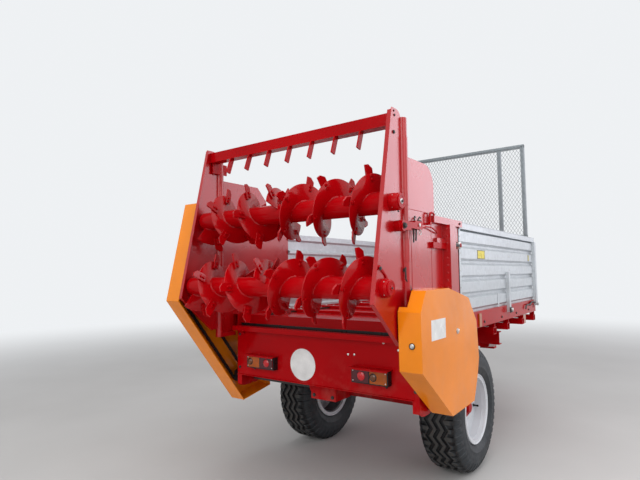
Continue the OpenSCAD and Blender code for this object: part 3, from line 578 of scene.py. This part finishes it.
SLAT_COUNT, SLAT_Y0, SLAT_STEP, SLAT_TOP_Z = 5, 380.0, 400.0, FLOOR_Z + 20.0


def make_conveyor():
    """Floor chains of forged links, and channel slats bolted to them."""
    chain, slats, bolts = shapes(3)
    z = FLOOR_Z + SEAT - CONVEYOR_R
    for side in SIDES:
        make_roller_chain(chain, side * CHAIN_X, (CONVEYOR_Y0, z), (CONVEYOR_Y1, z), *FLOOR_LINKS)
    # Along X a slat lies low, and steps up over each chain
    reach, beside = CHAIN_X + 60, 12.0
    stops = [-reach, -CHAIN_X - beside, -CHAIN_X + beside, CHAIN_X - beside, CHAIN_X + beside, reach]
    for k in range(SLAT_COUNT):
        y, top = SLAT_Y0 + SLAT_STEP * k, SLAT_TOP_Z
        for i, (x0, x1) in enumerate(zip(stops, stops[1:])):
            base = FLOOR_Z + (12.9 if i % 2 else 2.0)
            slats.prism([(y - 20, base), (y + 20, base), (y + 20, top - 3), (y + 17, top), (y - 17, top),
                         (y - 20, top - 3)], x0, x1)
        for side in SIDES:
            for dx in (-34, 34):
                bolts.bolt((side * CHAIN_X + dx, y, top), Z, 8.0)
    chain.done("floor_chain_links", "black_steel", replaces=("conveyor",))
    slats.done("floor_slats", "red_paint", smooth=20)
    bolts.done("floor_bolts", "bright_steel", smooth=20)


# Tyre: zigzag grooves round it, notched shoulders, and its wall as (radius, half width)
TYRE_PERIODS, GROOVES = 24, (46, 0, -46)
GROOVE_DEPTH, GROOVE_TOP, GROOVE_FOOT, GROOVE_SWAY = 12.0, 13, 9, 15.0
PERIOD_STEPS, NOTCHED_STEPS = (0.0, 0.10, 0.14, 0.32, 0.36, 0.5, 0.60, 0.64, 0.82, 0.86), (2, 3, 7, 8)
NOTCH_DEPTH, NOTCH_SIDE, LUG_DEPTH, RIBS_X, BEAD_R = 12.0, 1.5, 4.0, 78, 195.0
TYRE_WALL = ((212, 104), (222, 112), (236, 121), (252, 127), (256, 129.5), (262, 129.5), (266, 128.5),
             (282, 131), (300, 130.5), (316, 127), (322, 128), (328, 126.5), (342, 120), (356, 111),
             (366, 102))
TYRE_SHOULDER = ((373, 95), (377, 86))


def tyre_section(step, fraction):
    """The cut through a tyre at one step of its pattern: (radius, place across it)."""
    notch = step in NOTCHED_STEPS
    cut, lug, tuck = (NOTCH_DEPTH, LUG_DEPTH, NOTCH_SIDE) if notch else (0.0, 0.0, 0)
    zig = GROOVE_SWAY * (1 - 4 * abs(fraction - 0.5))
    wall = [(BEAD_R, 100.0), (BEAD_R + 5, 104.0)]
    wall += [(r, x - (lug if 320 < r < 370 else 0)) for r, x in TYRE_WALL]
    wall += [(r - cut, x - tuck) for r, x in TYRE_SHOULDER]
    ribs = [(TYRE_R - cut, RIBS_X)]
    for g in GROOVES:
        top, foot = TYRE_R, TYRE_R - GROOVE_DEPTH
        ribs += [(top, g + GROOVE_TOP + zig), (foot, g + GROOVE_FOOT + zig),
                 (foot, g - GROOVE_FOOT + zig), (top, g - GROOVE_TOP + zig)]
    ribs.append((TYRE_R - cut, -RIBS_X))
    return wall + ribs + [(r, -x) for r, x in reversed(wall)]


def make_tyre(side, body, node):
    """Tyre with three zigzag grooves round it and notched shoulders."""
    shape = Shape()
    rings = []
    for p in range(TYRE_PERIODS):
        for step, fraction in enumerate(PERIOD_STEPS):
            a = 2 * pi * (p + fraction) / TYRE_PERIODS
            rings.append([(side * TRACK / 2 + x, AXLE_Y + r * sin(a), TYRE_R + r * cos(a))
                          for r, x in tyre_section(step, fraction)])
    shape.solid(rings, closed=True)
    shape.done("tread_" + body, "tyre_rubber", body, 28, replaces=(node,))


NUT_CIRCLE_R, HUB_BOLTS_R, VALVE_R, VALVE_ANGLE = 80, 42, 168, -9
# Rounded lips on each side of a rim: place across it, radius, thickness and steps round it
RIM_LIPS = ((112.5, 207.5, 5.0, 10), (84, 187.0, 2.6, 8))


def make_wheel_fittings(side, body):
    """Wheel nuts, hub cap and valve, on the outer face of each wheel, and the rim's rounded lips."""
    nuts, hub, valve, lips = shapes(4)
    mid = side * TRACK / 2
    out = X * side

    def spot(off, radius, a):
        return polar(mid + side * off, (AXLE_Y, TYRE_R), radius, a)

    for a in degrees(15, 60, 6):
        nut = spot(8.2, NUT_CIRCLE_R, a)
        nuts.bolt(nut, out, 16.0)
        nuts.lathe(Vector(nut) + out * 12, out, [(0, 7), (8, 7), (9, 6)], 12)
    hub.lathe(spot(49, 0, 0), out, [(0, 52), (5, 52), (7, 49), (8, 34), (22, 32), (25, 28)], 40)
    for a in degrees(0, 72, 5):
        hub.bolt(spot(56.5, HUB_BOLTS_R, a), out, 6.0, washer=False)
    stem = [(0, 9), (6, 8), (10, 5), (22, 5), (23, 6.5), (34, 6.5), (35, 5)]
    valve.lathe(spot(34, VALVE_R, radians(VALVE_ANGLE)), out, stem, 12)
    for s in SIDES:
        for off, radius, thick, sides in RIM_LIPS:
            lips.ring((mid + s * off, AXLE_Y, TYRE_R), X, radius, thick, 96, sides)
    nuts.done("wheel_nuts_" + body, "bright_steel", body, 20)
    hub.done("hub_cap_" + body, "red_paint", body, 30)
    valve.done("valve_" + body, "lamp_black", body, 30)
    lips.done("rim_lips_" + body, "rim_paint", body, 50)


STRAND_SPACING, STRAND_W, STRAND_T, STRAND_LEAN, SHORTEST_STRAND, MESH_EDGE = 30.0, 2.6, 1.6, 58, 5, 8


def make_screen_mesh():
    """Expanded metal: two sets of slanting strands in one sheet, with a flat edge."""
    y = BOX_Y1 - SCREEN_TUBE - 1.8
    x1, z0, z1 = SCREEN_X - SCREEN_TUBE / 2, WALL_TOP_Z + SCREEN_TUBE / 2, SCREEN_TOP_Z - SCREEN_TUBE / 2
    shape = Shape()
    slope = tan(radians(STRAND_LEAN))
    tall = z1 - z0
    reach = tall / slope
    half = STRAND_W / 2 / sin(atan(slope))
    for lean, first, front in ((1, -x1 - reach, y), (-1, -x1, y - 1.2)):
        back = front - STRAND_T
        section = ((-half, front), (half, front), (half, back), (-half, back))
        for i in range(int((2 * x1 + reach) / STRAND_SPACING) + 1):
            foot = first + i * STRAND_SPACING
            low, high = max(0.0, (-x1 - lean * foot) * slope), min(tall, (x1 - lean * foot) * slope)
            if high - low >= SHORTEST_STRAND:
                ends = [(foot + lean * z / slope, z0 + z) for z in (low, high)]
                shape.solid([[(x + beside, deep, z) for beside, deep in section] for x, z in ends])
    for xa, xb, za, zb in ((-x1, x1, z0, z0 + MESH_EDGE), (-x1, x1, z1 - MESH_EDGE, z1),
                           (-x1, MESH_EDGE - x1, z0, z1), (x1 - MESH_EDGE, x1, z0, z1)):
        shape.block((xa, y - 2.8, za), (xb, y + 1.2, zb))
    shape.done("screen_strands", "darker_zinc", smooth=0, replaces=("screen_mesh",))


def make_ribbed_face(shape, x0, x1, z0, z1, pitch=5.0, depth=1.4):
    """A lens front with upright ribs, as one solid just ahead of the plain lens."""
    count = int(abs(x1 - x0) / pitch)
    front = LENS_Y - SEAT
    outline = [(x0, LENS_Y + 0.4), (x1, LENS_Y + 0.4)]
    for i in range(count, 0, -1):
        left, right = x0 + (x1 - x0) * (i - 1) / count, x0 + (x1 - x0) * i / count
        outline += [(right, front), ((left + right) / 2, front - depth)]
    outline.append((x0, front))
    shape.column(outline, z0, z1)


def make_holed_plate(shape, x0, x1, z0, z1, hole, radius, y0, y1):
    """A rectangular plate facing the rear with one round hole."""
    half_x, half_z = (x1 - x0) / 2, (z1 - z0) / 2
    mid_x, mid_z = (x0 + x1) / 2, (z0 + z1) / 2
    corner = atan2(half_z, half_x)
    corners = {corner, pi - corner, pi + corner, 2 * pi - corner}
    turns = sorted({2 * pi * i / 40 for i in range(40)} | corners)
    outer, inner = [], arc(hole, radius, turns)
    for a in turns:
        reach = min(half_x / max(abs(cos(a)), 1e-6), half_z / max(abs(sin(a)), 1e-6))
        outer += arc((mid_x, mid_z), reach, [a])
    shape.solid([[(x, y, z) for x, z in outline]
                 for y, outline in ((y0, outer), (y0, inner), (y1, inner), (y1, outer))], closed=True)


# Each lamp's side, and the places along X of the dome on its amber half and of the one on its red half
LAMPS = ((1, 413.0, 340.0), (-1, -468.0, -335.0))
LAMP_EDGE, LAMP_SPLIT, LAMP_HOLE_R = 6.3, 2.0, 24.0
BULB_DOME = [(0, 17), (3, 16.4), (5.4, 13), (6.8, 7), (7.2, 0.4)]
RED_DOME = [(0, 23), (2.6, 22.6), (6, 18), (8, 9), (8.4, 0.4)]


def make_lamps():
    """Lens ribs, domes, bezels, screws, cable glands and hoods of the rear lamps."""
    amber, bulbs, red, maroon, black, bright, hood = shapes(7)
    z0, z1 = LAMP_Z + LAMP_EDGE, LAMP_Z + LAMP_H - LAMP_EDGE
    mid_z = (z0 + z1) / 2
    middle = LAMP_X1 - LAMP_W / 2
    inner = LAMP_X1 - LAMP_W
    top = LAMP_Z + LAMP_H + SEAT
    hood_cut = [(-SEAT, top), (-54, top - 1), (-56, top - 7), (-58, top - 7), (-56, top + 2),
                (-SEAT, top + 3.5)]
    for side, bulb_x, red_x in LAMPS:
        amber_x = sorted((side * (middle + LAMP_SPLIT), side * (LAMP_X1 - LAMP_EDGE)))
        plain_x = sorted((side * (inner + LAMP_EDGE), side * (middle - LAMP_SPLIT)))
        make_ribbed_face(amber, *amber_x, z0, z1)
        bulbs.lathe((bulb_x, LENS_Y - 0.5, mid_z), -Y, BULB_DOME, 28)
        black.ring((bulb_x, LENS_Y - 1.6, mid_z), Y, 19.0, 2.4, 32, 8)
        make_holed_plate(maroon, *plain_x, z0, z1, (red_x, mid_z), LAMP_HOLE_R, LENS_Y + SEAT, LENS_Y - 2.4)
        red.lathe((red_x, LENS_Y - 0.2, mid_z), -Y, RED_DOME, 28)
        black.block((side * middle - 2.4, LENS_Y - 2.4, z0), (side * middle + 2.4, LENS_Y + SEAT, z1))
        hood.prism(hood_cut, *sorted((side * (LAMP_X1 + 5), side * (inner - 5))))
        for x in (inner + 12, LAMP_X1 - 12):
            for z in (z0 + 7, z1 - 7):
                bright.lathe((side * x, LENS_Y - 1.4, z), -Y, [(0, 3.6), (1.6, 3.4), (2.2, 2.4)], 12)
        black.lathe((side * (LAMP_X1 - 30), -0.4, LAMP_Z - 6), -Z, [(-8, 6), (10, 6), (12, 4)], 12)
    amber.done("lamp_amber_faces", "amber_lens", smooth=25)
    bulbs.done("lamp_bulbs", "bulb_brown")
    red.done("lamp_red_domes", "red_lens")
    hood.done("lamp_hoods", "red_paint", smooth=20)
    maroon.done("lamp_red_plates", "lens_maroon", smooth=20)
    black.done("lamp_bezels", "lamp_black", smooth=30)
    bright.done("lamp_screws", "bright_steel", smooth=30)


PANEL_RIVETS = ((233, 792), (274, 794), (455, 870), (540, 838), (552, 760))
LOWER_FOLD = [(0.5, 593), (0.5, 600), (-9, 597), (-9, 593)]
LEDGE_FOLD = [(-50, 884), (-50, 878), (-46, 878), (-46, 884)]
LEDGE_GUSSET = [(0.3, 884), (-40, 884), (0.3, 852)]


def make_panel_fittings():
    """Rivets, folds, weld, gussets and bolts of the rear panel, and a black sheet above it that paints the
    shadow in the gap over the lip.
    """
    red, bright, dark, shadow_sheet = shapes(4)
    for x, z in PANEL_RIVETS:
        bright.lathe((x, 0, z), -Y, [(0, 7), (2, 6.4), (3.4, 4), (3.8, 0.4)], 14)
    red.prism(LOWER_FOLD, -619, 619)
    red.prism(LEDGE_FOLD, -620, 620)
    for x in (-560, 560):
        red.prism(LEDGE_GUSSET, x - 3, x + 3)
    red.weld([(-616, -2, 882), (616, -2, 882)], 3.0)
    for x in (-600, 630):
        for z in (640, 850):
            dark.bolt((x, 0, z), -Y, 8.0)
    # Painted shadow: a black sheet standing where the gap between the lip and the trough lies in shade
    shadow_sheet.block((-612, 27, 880), (612, 31, 921.5))
    red.done("panel_folds", "red_paint", smooth=25, bevel=1.0)
    bright.done("panel_rivets", "bright_steel")
    dark.done("panel_bolts", "black_steel", smooth=20)
    shadow_sheet.done("panel_shadow_sheet", "lamp_black", smooth=0)


# Place and size of each bolt on both side plates
PLATE_BOLTS = ((-214, 1990, 6.0), (-226, 1905, 9.0), (-219, 2010, 5.0))
STRAP = [(-404, 1262), (-392, 1270), (-330, 1222), (-314, 1196), (-328, 1190), (-346, 1226)]
HOOK = [(669, -156, 1262), (669, -156, 1232), (669, -154, 1204), (670, -136, 1184), (671, -114, 1172),
        (671, -104, 1150)]
TOOTH_COUNT, TOOTH_STEP, BEAM_LOW_Z = 7, 155.0, 1945.5


def make_beater_plate_fittings():
    """Bolts, strap, hook and tooth welds of the spreading unit's frame."""
    red, dark = shapes(2)
    for side in SIDES:
        for y, z, size in PLATE_BOLTS:
            dark.bolt((side * PLATE_OUT_X, y, z), X * side, size)
        for z in (1260, 1640, 1902):
            x, y = side * (PLATE_OUT_X + 0.5), POST_Y - 0.5
            red.weld([(x, y, z - 25), (x, y, z + 25)], 3.0)
        red.weld([(side * 652.5, -217, 1947), (side * 652.5, -217, 2005)], 3.0)
    red.prism(STRAP, PLATE_OUT_X + 0.2, PLATE_OUT_X + 6)
    dark.bolt((PLATE_OUT_X + 6, -392, 1256), X, 8.0)
    dark.rod(HOOK, 3.4)
    dark.block((PLATE_OUT_X + 0.2, -162, 1240), (669, -150, 1256))
    for i in range(TOOTH_COUNT):
        for side in SIDES:
            x = (i - TOOTH_COUNT // 2) * TOOTH_STEP + side * 4.5
            red.weld([(x, -216, BEAM_LOW_Z), (x, -188, BEAM_LOW_Z)], 2.5)
    red.done("plate_fittings", "red_paint", smooth=25)
    dark.done("plate_bolts", "black_steel", smooth=25)


# The pipe and its two sleeves: lower end, upper end and radius
PIPES = ((843, 1996, PIPE_R), (1560, 1902, PIPE_R + 1.8), (1290, 1400, PIPE_R + 1.8))


def make_posts():
    """Round pipes in front of the side plates, with their sleeves, and box posts where the walls begin."""
    red = Shape()
    for side in SIDES:
        for z0, z1, r in PIPES:
            pipe = [(0, r - 1.5), (1.5, r), (z1 - z0 - 1.5, r), (z1 - z0, r - 1.5)]
            red.lathe((side * PIPE_X, PIPE_Y, z0), Z, pipe, 40)
        red.slab(side, ON_WALL_X, SIDE_POST_X, SIDE_POST_Y0, SIDE_POST_Y1, 1112, 1499.6)
        for i in range(9):
            rivet = (side * 690, SIDE_POST_Y0, 1150 + 41 * i)
            red.lathe(rivet, -Y, [(0, 6), (1.6, 5.4), (3, 3), (3.2, 0.4)], 12)
    red.done("post_pipes", "red_sheet", smooth=35)


# The rear side's rounded corner, which the left crown goes round: centre, and radius with a gap
CORNER, CORNER_R = (100, 1696), 110.3
CROWN_OUTLINE = [(-112, 1806.3), (-112, 1848), (232, 1848), (321, 1757), (321, 1536.3), (210.3, 1536.3)]


def make_left_crown():
    """The left rear side's upper sheet, taller and longer than the right one's."""
    crown = Shape()
    crown.prism(CROWN_OUTLINE + arc(CORNER, CORNER_R, degrees(0, 10, 10)), -665.8, -661.2)
    crown.done("left_crown", "red_sheet", smooth=0)


LATCH_X = 684
# Each pin's radius and its route as (y, z)
LATCH_PINS = (
    (4.0, ((-78, 1486), (-78, 1504), (-72, 1511), (-64, 1508))),
    (4.0, ((-40, 1486), (-34, 1500), (-18, 1512), (-4, 1509))),
    (3.6, ((-38, 1487), (-22, 1494), (0, 1494))),
    (4.0, ((-88, 1450), (-88, 1430), (-92, 1382))),
    (4.0, ((-60, 1450), (-60, 1430), (-66, 1392))),
)
LATCH_LOOP = ((112, 1494), (112, 1534), (117, 1544), (128, 1549), (152, 1549), (164, 1544), (168, 1534))
LATCH_WIRE = ((LATCH_X, -24, 1450), (LATCH_X, 10, 1461), (LATCH_X, 60, 1470), (LATCH_X, 130, 1470),
              (680, 196, 1456), (671, 232, 1446))


def make_latch():
    """Pins, wire, ring and loop handle of the latch on each side, and the spring bolt on the right plate."""
    red, dark, bright = shapes(3)
    for side in SIDES:
        for radius, route in LATCH_PINS:
            dark.rod([(side * LATCH_X, y, z) for y, z in route], radius)
        bright.ring((side * LATCH_X, -14, 1436), X, 12.0, 2.6, 24, 8)
        red.rod(mirrored(side, LATCH_WIRE), 3.8)
        red.rod([(side * LATCH_X, y, z) for y, z in LATCH_LOOP], 5.5)
        red.slab(side, ON_WALL_X, 690, 103, 121, 1484, 1496)
        bright.lathe((side * 700, -58, 1468), X * side, [(0, 9), (5, 9), (6, 7), (6.4, 0.4)], 18)
    dark.bolt((700, -221, 1455), X, 14.0)
    red.ring((686, -221, 1455), X, 26.0, 4.0, 40, 8)
    red.done("latch_wire_and_loops", "red_paint")
    dark.done("latch_pins", "black_steel")
    bright.done("latch_rings", "bright_steel")


SLIDING_BOLT = ((700, 406, 1391), (700, 440, 1391), (690, 470, 1391), (690, 508, 1391))
KNOB_Y, KNOB_Z = 534, 1393


def make_rear_side_fittings():
    """Pressed lines, horizontal bar, sliding bolt with its knob, corner rod and bolts of each rear side."""
    red, dark, bright = shapes(3)
    for side in SIDES:
        out = X * side
        for y in (-80, 161, 295):
            red.rod(mirrored(side, ((WALL_X, y, 990), (WALL_X, y, 1488))), 1.3, 8)
        red.rod(mirrored(side, ((WALL_X, -100, 1548), (WALL_X, 205, 1548))), 1.5, 8)
        red.slab(side, ON_WALL_X, 684, 150, 321.5, 1364, 1396)
        dark.rod(mirrored(side, SLIDING_BOLT), 9.0, 14)
        bright.lathe((side * WALL_X, KNOB_Y, KNOB_Z), out, [(0, 22), (18, 22), (22, 20), (24, 17)], 28)
        red.lathe((side * 689.5, KNOB_Y, KNOB_Z), out, [(0, 13), (3, 12), (4, 8), (4.2, 0.4)], 24)
        dark.rod(mirrored(side, ((666.5, 560.5, 1000), (666.5, 560.5, 1495))), 2.6, 8)
        for y in (240, 400, 540):
            dark.bolt((side * WALL_X, y, 1006), out, 8.0)
        dark.bolt((side * 692, 520, 1518), out, 7.0)
    red.done("rear_side_ribs", "red_paint", smooth=35)
    dark.done("rear_side_bolts", "black_steel", smooth=35)
    bright.done("rear_side_knobs", "bright_steel", smooth=35)


STRIP_OUT_X, STRIP_Z0, STRIP_Z1 = 668.2, 984, 1494
WALL_LEVER = ((677, 2066, 918), (677, 2074, 938), (677, 2100, 952), (677, 2180, 950), (677, 2240, 952),
              (677, 2276, 968), (677, 2340, 966), (677, 2420, 950))
# Both ends of each sticker along Y and Z
STICKERS = ((900, 1050, 1320, 1377), (2240, 2272, 1322, 1376))


def make_wall_fittings():
    """Foot clamps, levers, corner strips, rivets and bolts of the galvanised walls, and blank stickers."""
    zincs, dark, bright, yellow = shapes(4)
    for side in SIDES:
        out = X * side
        dark.slab(side, 688, 696, 1532, 1588, 926, 966)
        bright.lathe((side * 696, 1560, 946), out, [(0, 15), (8, 15), (10, 12), (12, 7), (12.4, 0.4)], 24)
        zincs.slab(side, ON_WALL_X, 668.5, 1308, 1342, STRIP_Z0, 1080)
        bright.lathe((side * 668.5, 1325, 1000), out, [(0, 6), (3, 5), (3.4, 0.4)], 14)
        dark.rod(mirrored(side, WALL_LEVER), 5.5, 12)
        dark.slab(side, ON_WALL_X, 674, 2232, 2262, 936, 964)
        bright.lathe((side * 690.2, 2425, 947), out, [(0, 20), (7, 20), (10, 17), (11, 8), (11.2, 0.4)], 28)
        for y0, y1 in ((565, 592), (2386, 2394)):
            zincs.slab(side, ON_WALL_X, STRIP_OUT_X, y0, y1, STRIP_Z0, STRIP_Z1)
        for i in range(5):
            for x, y in ((STRIP_OUT_X, 578), (WALL_X, 1640), (WALL_X, 2370)):
                rivet = (side * x, y, 1040 + 102.9 * i)
                bright.lathe(rivet, out, [(0, 5), (1.6, 4.6), (3, 2), (3.1, 0.4)], 12)
        for y in (600, 1000, 1400, 1800, 2200):
            dark.bolt((side * WALL_X, y, 905), out, 8.0)
        zincs.rod(mirrored(side, ((675, 566, 1534), (675, 2452, 1534))), 2.0, 8)
    for y0, y1, z0, z1 in STICKERS:
        yellow.block((WALL_X + 0.1, y0, z0), (WALL_X + 1.0, y1, z1))
        for ya, yb, za, zb in ((y0, y1, z0, z0 + 3), (y0, y1, z1 - 3, z1),
                               (y0, y0 + 4, z0, z1), (y1 - 4, y1, z0, z1)):
            dark.block((ON_WALL_X, ya, za), (WALL_X + 1.5, yb, zb))
    for x in (-560, -280, 0, 280, 560):
        for z in (1440, 1040):
            bright.bolt((x, 2452, z), Y, 7.0)
    zincs.done("wall_strips", "galvanised", smooth=20)
    dark.done("wall_levers", "black_steel")
    bright.done("wall_rivets", "bright_steel")
    yellow.done("blank_stickers", "sticker_yellow", smooth=0)


# Fixing knobs on the guards' outer faces: (y, z) and side
GUARD_KNOBS = ((201, 931, 1), (60, 900, -1), (-150, 1350, -1))
STAR_KNOB_X, STAR_KNOB_Z = 733, 903
# Return flanges: side and both ends as (y, z)
GUARD_HEMS = ((1, ((94, 1152), (380, 1091))), (1, ((500, 955), (523, 752))), (-1, ((326, 758), (-84, 1247))))


def make_guard_fittings():
    """Fixing knobs, blank label and return flanges of the two chain guards."""
    white, bright, dark, orange = shapes(4)
    white.block((GUARD_X, -130, 916), (GUARD_X + 0.7, 42, 1012))
    for y, z, side in GUARD_KNOBS:
        knob = [(0, 15), (2, 15), (2.4, 9), (7, 9), (8.2, 6), (8.4, 0.4)]
        bright.lathe((side * GUARD_X, y, z), X * side, knob, 24)
        for a in (0.5, 0.5 + pi):
            ends = ((GUARD_X + 4, 5), (GUARD_X + 5, 14))
            bright.rod([polar(side * x, (y, z), r, a) for x, r in ends], 3.0, 8)
    star = [(-2, 12), (3, 12), (4, 8), (9, 8), (10.5, 6), (10.7, 0.4)]
    bright.lathe((STAR_KNOB_X, -239, STAR_KNOB_Z), -Y, star, 20)
    dark.ring((STAR_KNOB_X, -241.5, STAR_KNOB_Z), Y, 12.5, 2.2, 24, 8)
    for side, ends in GUARD_HEMS:
        orange.rod([(side * 667.5, y, z) for y, z in ends], 2.4, 8)
    white.done("blank_label", "sign_white", smooth=0)
    bright.done("guard_knobs", "bright_steel", smooth=35)
    dark.done("guard_star_knob", "lamp_black", smooth=20)
    orange.done("guard_hems", "orange_paint")


CLAMP_X, CROSS_MEMBERS_Y, GUSSET = 330, (90, 450, 1245, 1590, 2030), ((240, 796), (300, 796), (300, 750))
GEARBOX_Z, JACK_Y = 572, 2750


def make_under_frame():
    """U-bolts, gussets, the bolts of drawbar, eye and gearbox, and the jack's grip and weld."""
    red, dark, grip = shapes(3)
    for side in SIDES:
        x = side * CLAMP_X
        for y in (AXLE_Y - 48, AXLE_Y + 48):
            dark.rod([(x - 24, y, 708), (x - 24, y, 338), (x + 24, y, 338), (x + 24, y, 708)], 6.0)
        dark.block((x - 34, AXLE_Y - 58, 336), (x + 34, AXLE_Y + 58, 344.5))
        for y in CROSS_MEMBERS_Y:
            red.solid([[(side * gx, y + dy, gz) for gx, gz in GUSSET] for dy in (26, 32)])
        for y in (3150, 3200):
            dark.bolt((side * 75, y, 450), X * side, 12.0)
        for z in (425, 475):
            dark.bolt((side * 50, 3230, z), Y, 12.0)
        for up in SIDES:
            z = GEARBOX_Z + up * 55
            dark.bolt((side * 66, 240, z), Y, 10.0)
            dark.bolt((side * 66, 85, z), -Y, 10.0)
    grip.lathe((-411.9, JACK_Y, 835), -X, [(-2, 8), (0, 12), (6, 14), (70, 14), (76, 11), (77, 0.5)], 20)
    red.weld([(x, y, 848) for x, y in arc((-266, JACK_Y), 37, degrees(0, 12, 31))], 2.5)
    red.done("frame_gussets", "red_paint", smooth=25)
    dark.done("frame_bolts", "black_steel", smooth=35)
    grip.done("jack_grip", "lamp_black", smooth=30)


# Each tooth's corners: radians from its middle, and radius
SPLINE_COUNT, SPLINE_TOOTH = 6, ((-0.30, 14.6), (-0.26, 17.4), (0.26, 17.4), (0.30, 14.6))
# Along the splined end: place along Y and the share of the full section, with its locking groove
SPLINE_STEPS = ((2338, 1.0), (2395, 1.0), (2396, 0.80), (2404, 0.80), (2405, 1.0), (2428, 1.0), (2430, 0.92))


def make_input_splines():
    """The input shaft's plain and splined parts."""
    spline = Shape()
    section = []
    for i in range(SPLINE_COUNT):
        base = 2 * pi * i / SPLINE_COUNT
        for turn, radius in SPLINE_TOOTH:
            section += arc((0, 0), radius, [base + turn])
    shaft_z = DRIVE[1]
    spline.solid([[(x * k, y, shaft_z + z * k) for x, z in section] for y, k in SPLINE_STEPS])
    spline.lathe((0, 2175, shaft_z), Y, [(0, 21.4), (164, 21.4), (166, 19)], 40)
    spline.done("input_splines", "bright_steel", "input_drive", 25, replaces=("input_shaft",))


for name, node in frame["nodes"].items():
    slot = slot_of(node)
    node.data.materials.clear()
    node.data.materials.append(finishes[FINISH_OF.get(name, slot)])

make_flights("lower", LOWER)
make_flights("upper", UPPER)
make_bearings()
make_drive_chains()
make_conveyor()
for side, body, node in ((-1, "wheel_left", "tyre_left"), (1, "wheel_right", "tyre_right")):
    make_tyre(side, body, node)
    make_wheel_fittings(side, body)
for make in (make_screen_mesh, make_lamps, make_panel_fittings, make_beater_plate_fittings, make_posts,
             make_left_crown, make_latch, make_rear_side_fittings, make_wall_fittings, make_guard_fittings,
             make_under_frame, make_input_splines):
    make()


# Camera, floor and studio
CAMERA_AT = at(1708.7, -2269.4, 1236.7)
CAMERA_YAW, CAMERA_PITCH, CAMERA_ROLL = radians(36.137), radians(3.936), radians(-0.6755)
FOCAL_PX, IMAGE_W, SENSOR_W = 485.57, 640, 36.0
PALE, WORLD_COLOUR, WORLD_STRENGTH = (0.86, 0.88, 0.90), (0.95, 0.97, 1.0), 0.42
FLOOR_REACH, FLOOR_COLOURS = 60.0, ((0.52, 0.51, 0.50), (0.56, 0.55, 0.54))
# Metres from the middle between which the floor turns to the background's colour
FADE_FROM, FADE_TO = 3.2, 11.0
WHITE = (1.0, 1.0, 1.0)
# Each lamp: name, place, target, size in metres, power in watts and colour
STUDIO_LAMPS = (
    ("sky", (1.5, -1.5, 7.0), (0, 0, 0.8), (8.0, 8.0), 350.0, WHITE),
    ("side", (6.0, -3.0, 3.2), (0, -0.4, 1.0), (5.0, 3.5), 90.0, WHITE),
    ("behind", (0.6, -8.0, 3.6), (0, 0, 1.0), (6.0, 4.0), 190.0, WHITE),
    ("far_side", (8.0, 9.0, 4.5), (0, 0, 1.4), (9.0, 5.0), 330.0, (0.94, 0.90, 1.0)),
)


def make_camera():
    data = bpy.data.cameras.new("camera")
    data.sensor_width = SENSOR_W
    data.lens = FOCAL_PX / IMAGE_W * SENSOR_W
    data.clip_end = 200.0
    camera = new_object("camera", data)
    level = cos(CAMERA_PITCH)
    ahead = Vector((-sin(CAMERA_YAW) * level, cos(CAMERA_YAW) * level, sin(CAMERA_PITCH)))
    right = ahead.cross(Z).normalized()
    up = right.cross(ahead)
    rolled_right = cos(CAMERA_ROLL) * right + sin(CAMERA_ROLL) * up
    rolled_up = -sin(CAMERA_ROLL) * right + cos(CAMERA_ROLL) * up
    turn = Matrix((rolled_right, rolled_up, -ahead)).transposed().to_4x4()
    camera.matrix_world = Matrix.Translation(CAMERA_AT) @ turn
    scene.camera = camera


def make_studio_lamp(name, place, target, size, power, colour):
    data = bpy.data.lights.new(name, "AREA")
    data.shape = "RECTANGLE"
    data.size, data.size_y = size
    data.energy = power
    data.color = colour
    lamp = new_object(name, data)
    lamp.visible_camera = False
    lamp.location = place
    lamp.rotation_euler = (Vector(target) - Vector(place)).to_track_quat("-Z", "Y").to_euler()


def make_world():
    """A soft light on the object, and the pale background for what the camera, gloss and glass show."""
    world = bpy.data.worlds.new("studio")
    scene.world = world
    t = Tree(world)
    rays = t.node("LightPath")
    through = t.math("MAXIMUM", rays["Is Glossy Ray"], rays["Is Transmission Ray"])
    shown = t.math("MAXIMUM", rays["Is Camera Ray"], through)
    light = t.node("Background", {"Color": WORLD_COLOUR, "Strength": WORLD_STRENGTH})[0]
    pale = t.node("Background", {"Color": PALE})[0]
    mixed = t.node("MixShader", {0: shown, 1: light, 2: pale})[0]
    t.put(mixed, t.nodes["World Output"].inputs["Surface"])


def fade_into_background(t):
    """Far from the object the floor takes the background's colour, so that no horizon shows."""
    length = t.node("VectorMath", {0: t.place}, operation="LENGTH")["Value"]
    far = t.range(length, FADE_FROM, FADE_TO, how="SMOOTHSTEP")
    rays = t.node("LightPath")
    seen = t.math("MAXIMUM", rays["Is Camera Ray"], rays["Is Glossy Ray"])
    glow = t.node("Emission", {"Color": PALE})[0]
    mixed = t.node("MixShader", {0: t.times(seen, far), 1: t.shader.outputs[0], 2: glow})[0]
    t.put(mixed, t.nodes["Material Output"].inputs["Surface"])


def make_floor():
    mesh = bpy.data.meshes.new("floor")
    r = FLOOR_REACH
    mesh.from_pydata([(-r, -r, 0), (r, -r, 0), (r, r, 0), (-r, r, 0)], [], [(0, 1, 2, 3)])
    ground = new_object("floor", mesh)
    t = new_finish("floor")
    shade = t.mix(t.range(t.noise(0.9, 3.0), 0.3, 0.7), *FLOOR_COLOURS)
    t.finish(shade, 0.85, t.bump(t.noise(90.0, 3.0), 0.001, 0.3), spec=0.1)
    fade_into_background(t)
    mesh.materials.append(t.owner)


scene.view_settings.view_transform = "Standard"
make_camera()
make_world()
for lamp in STUDIO_LAMPS:
    make_studio_lamp(*lamp)
make_floor()
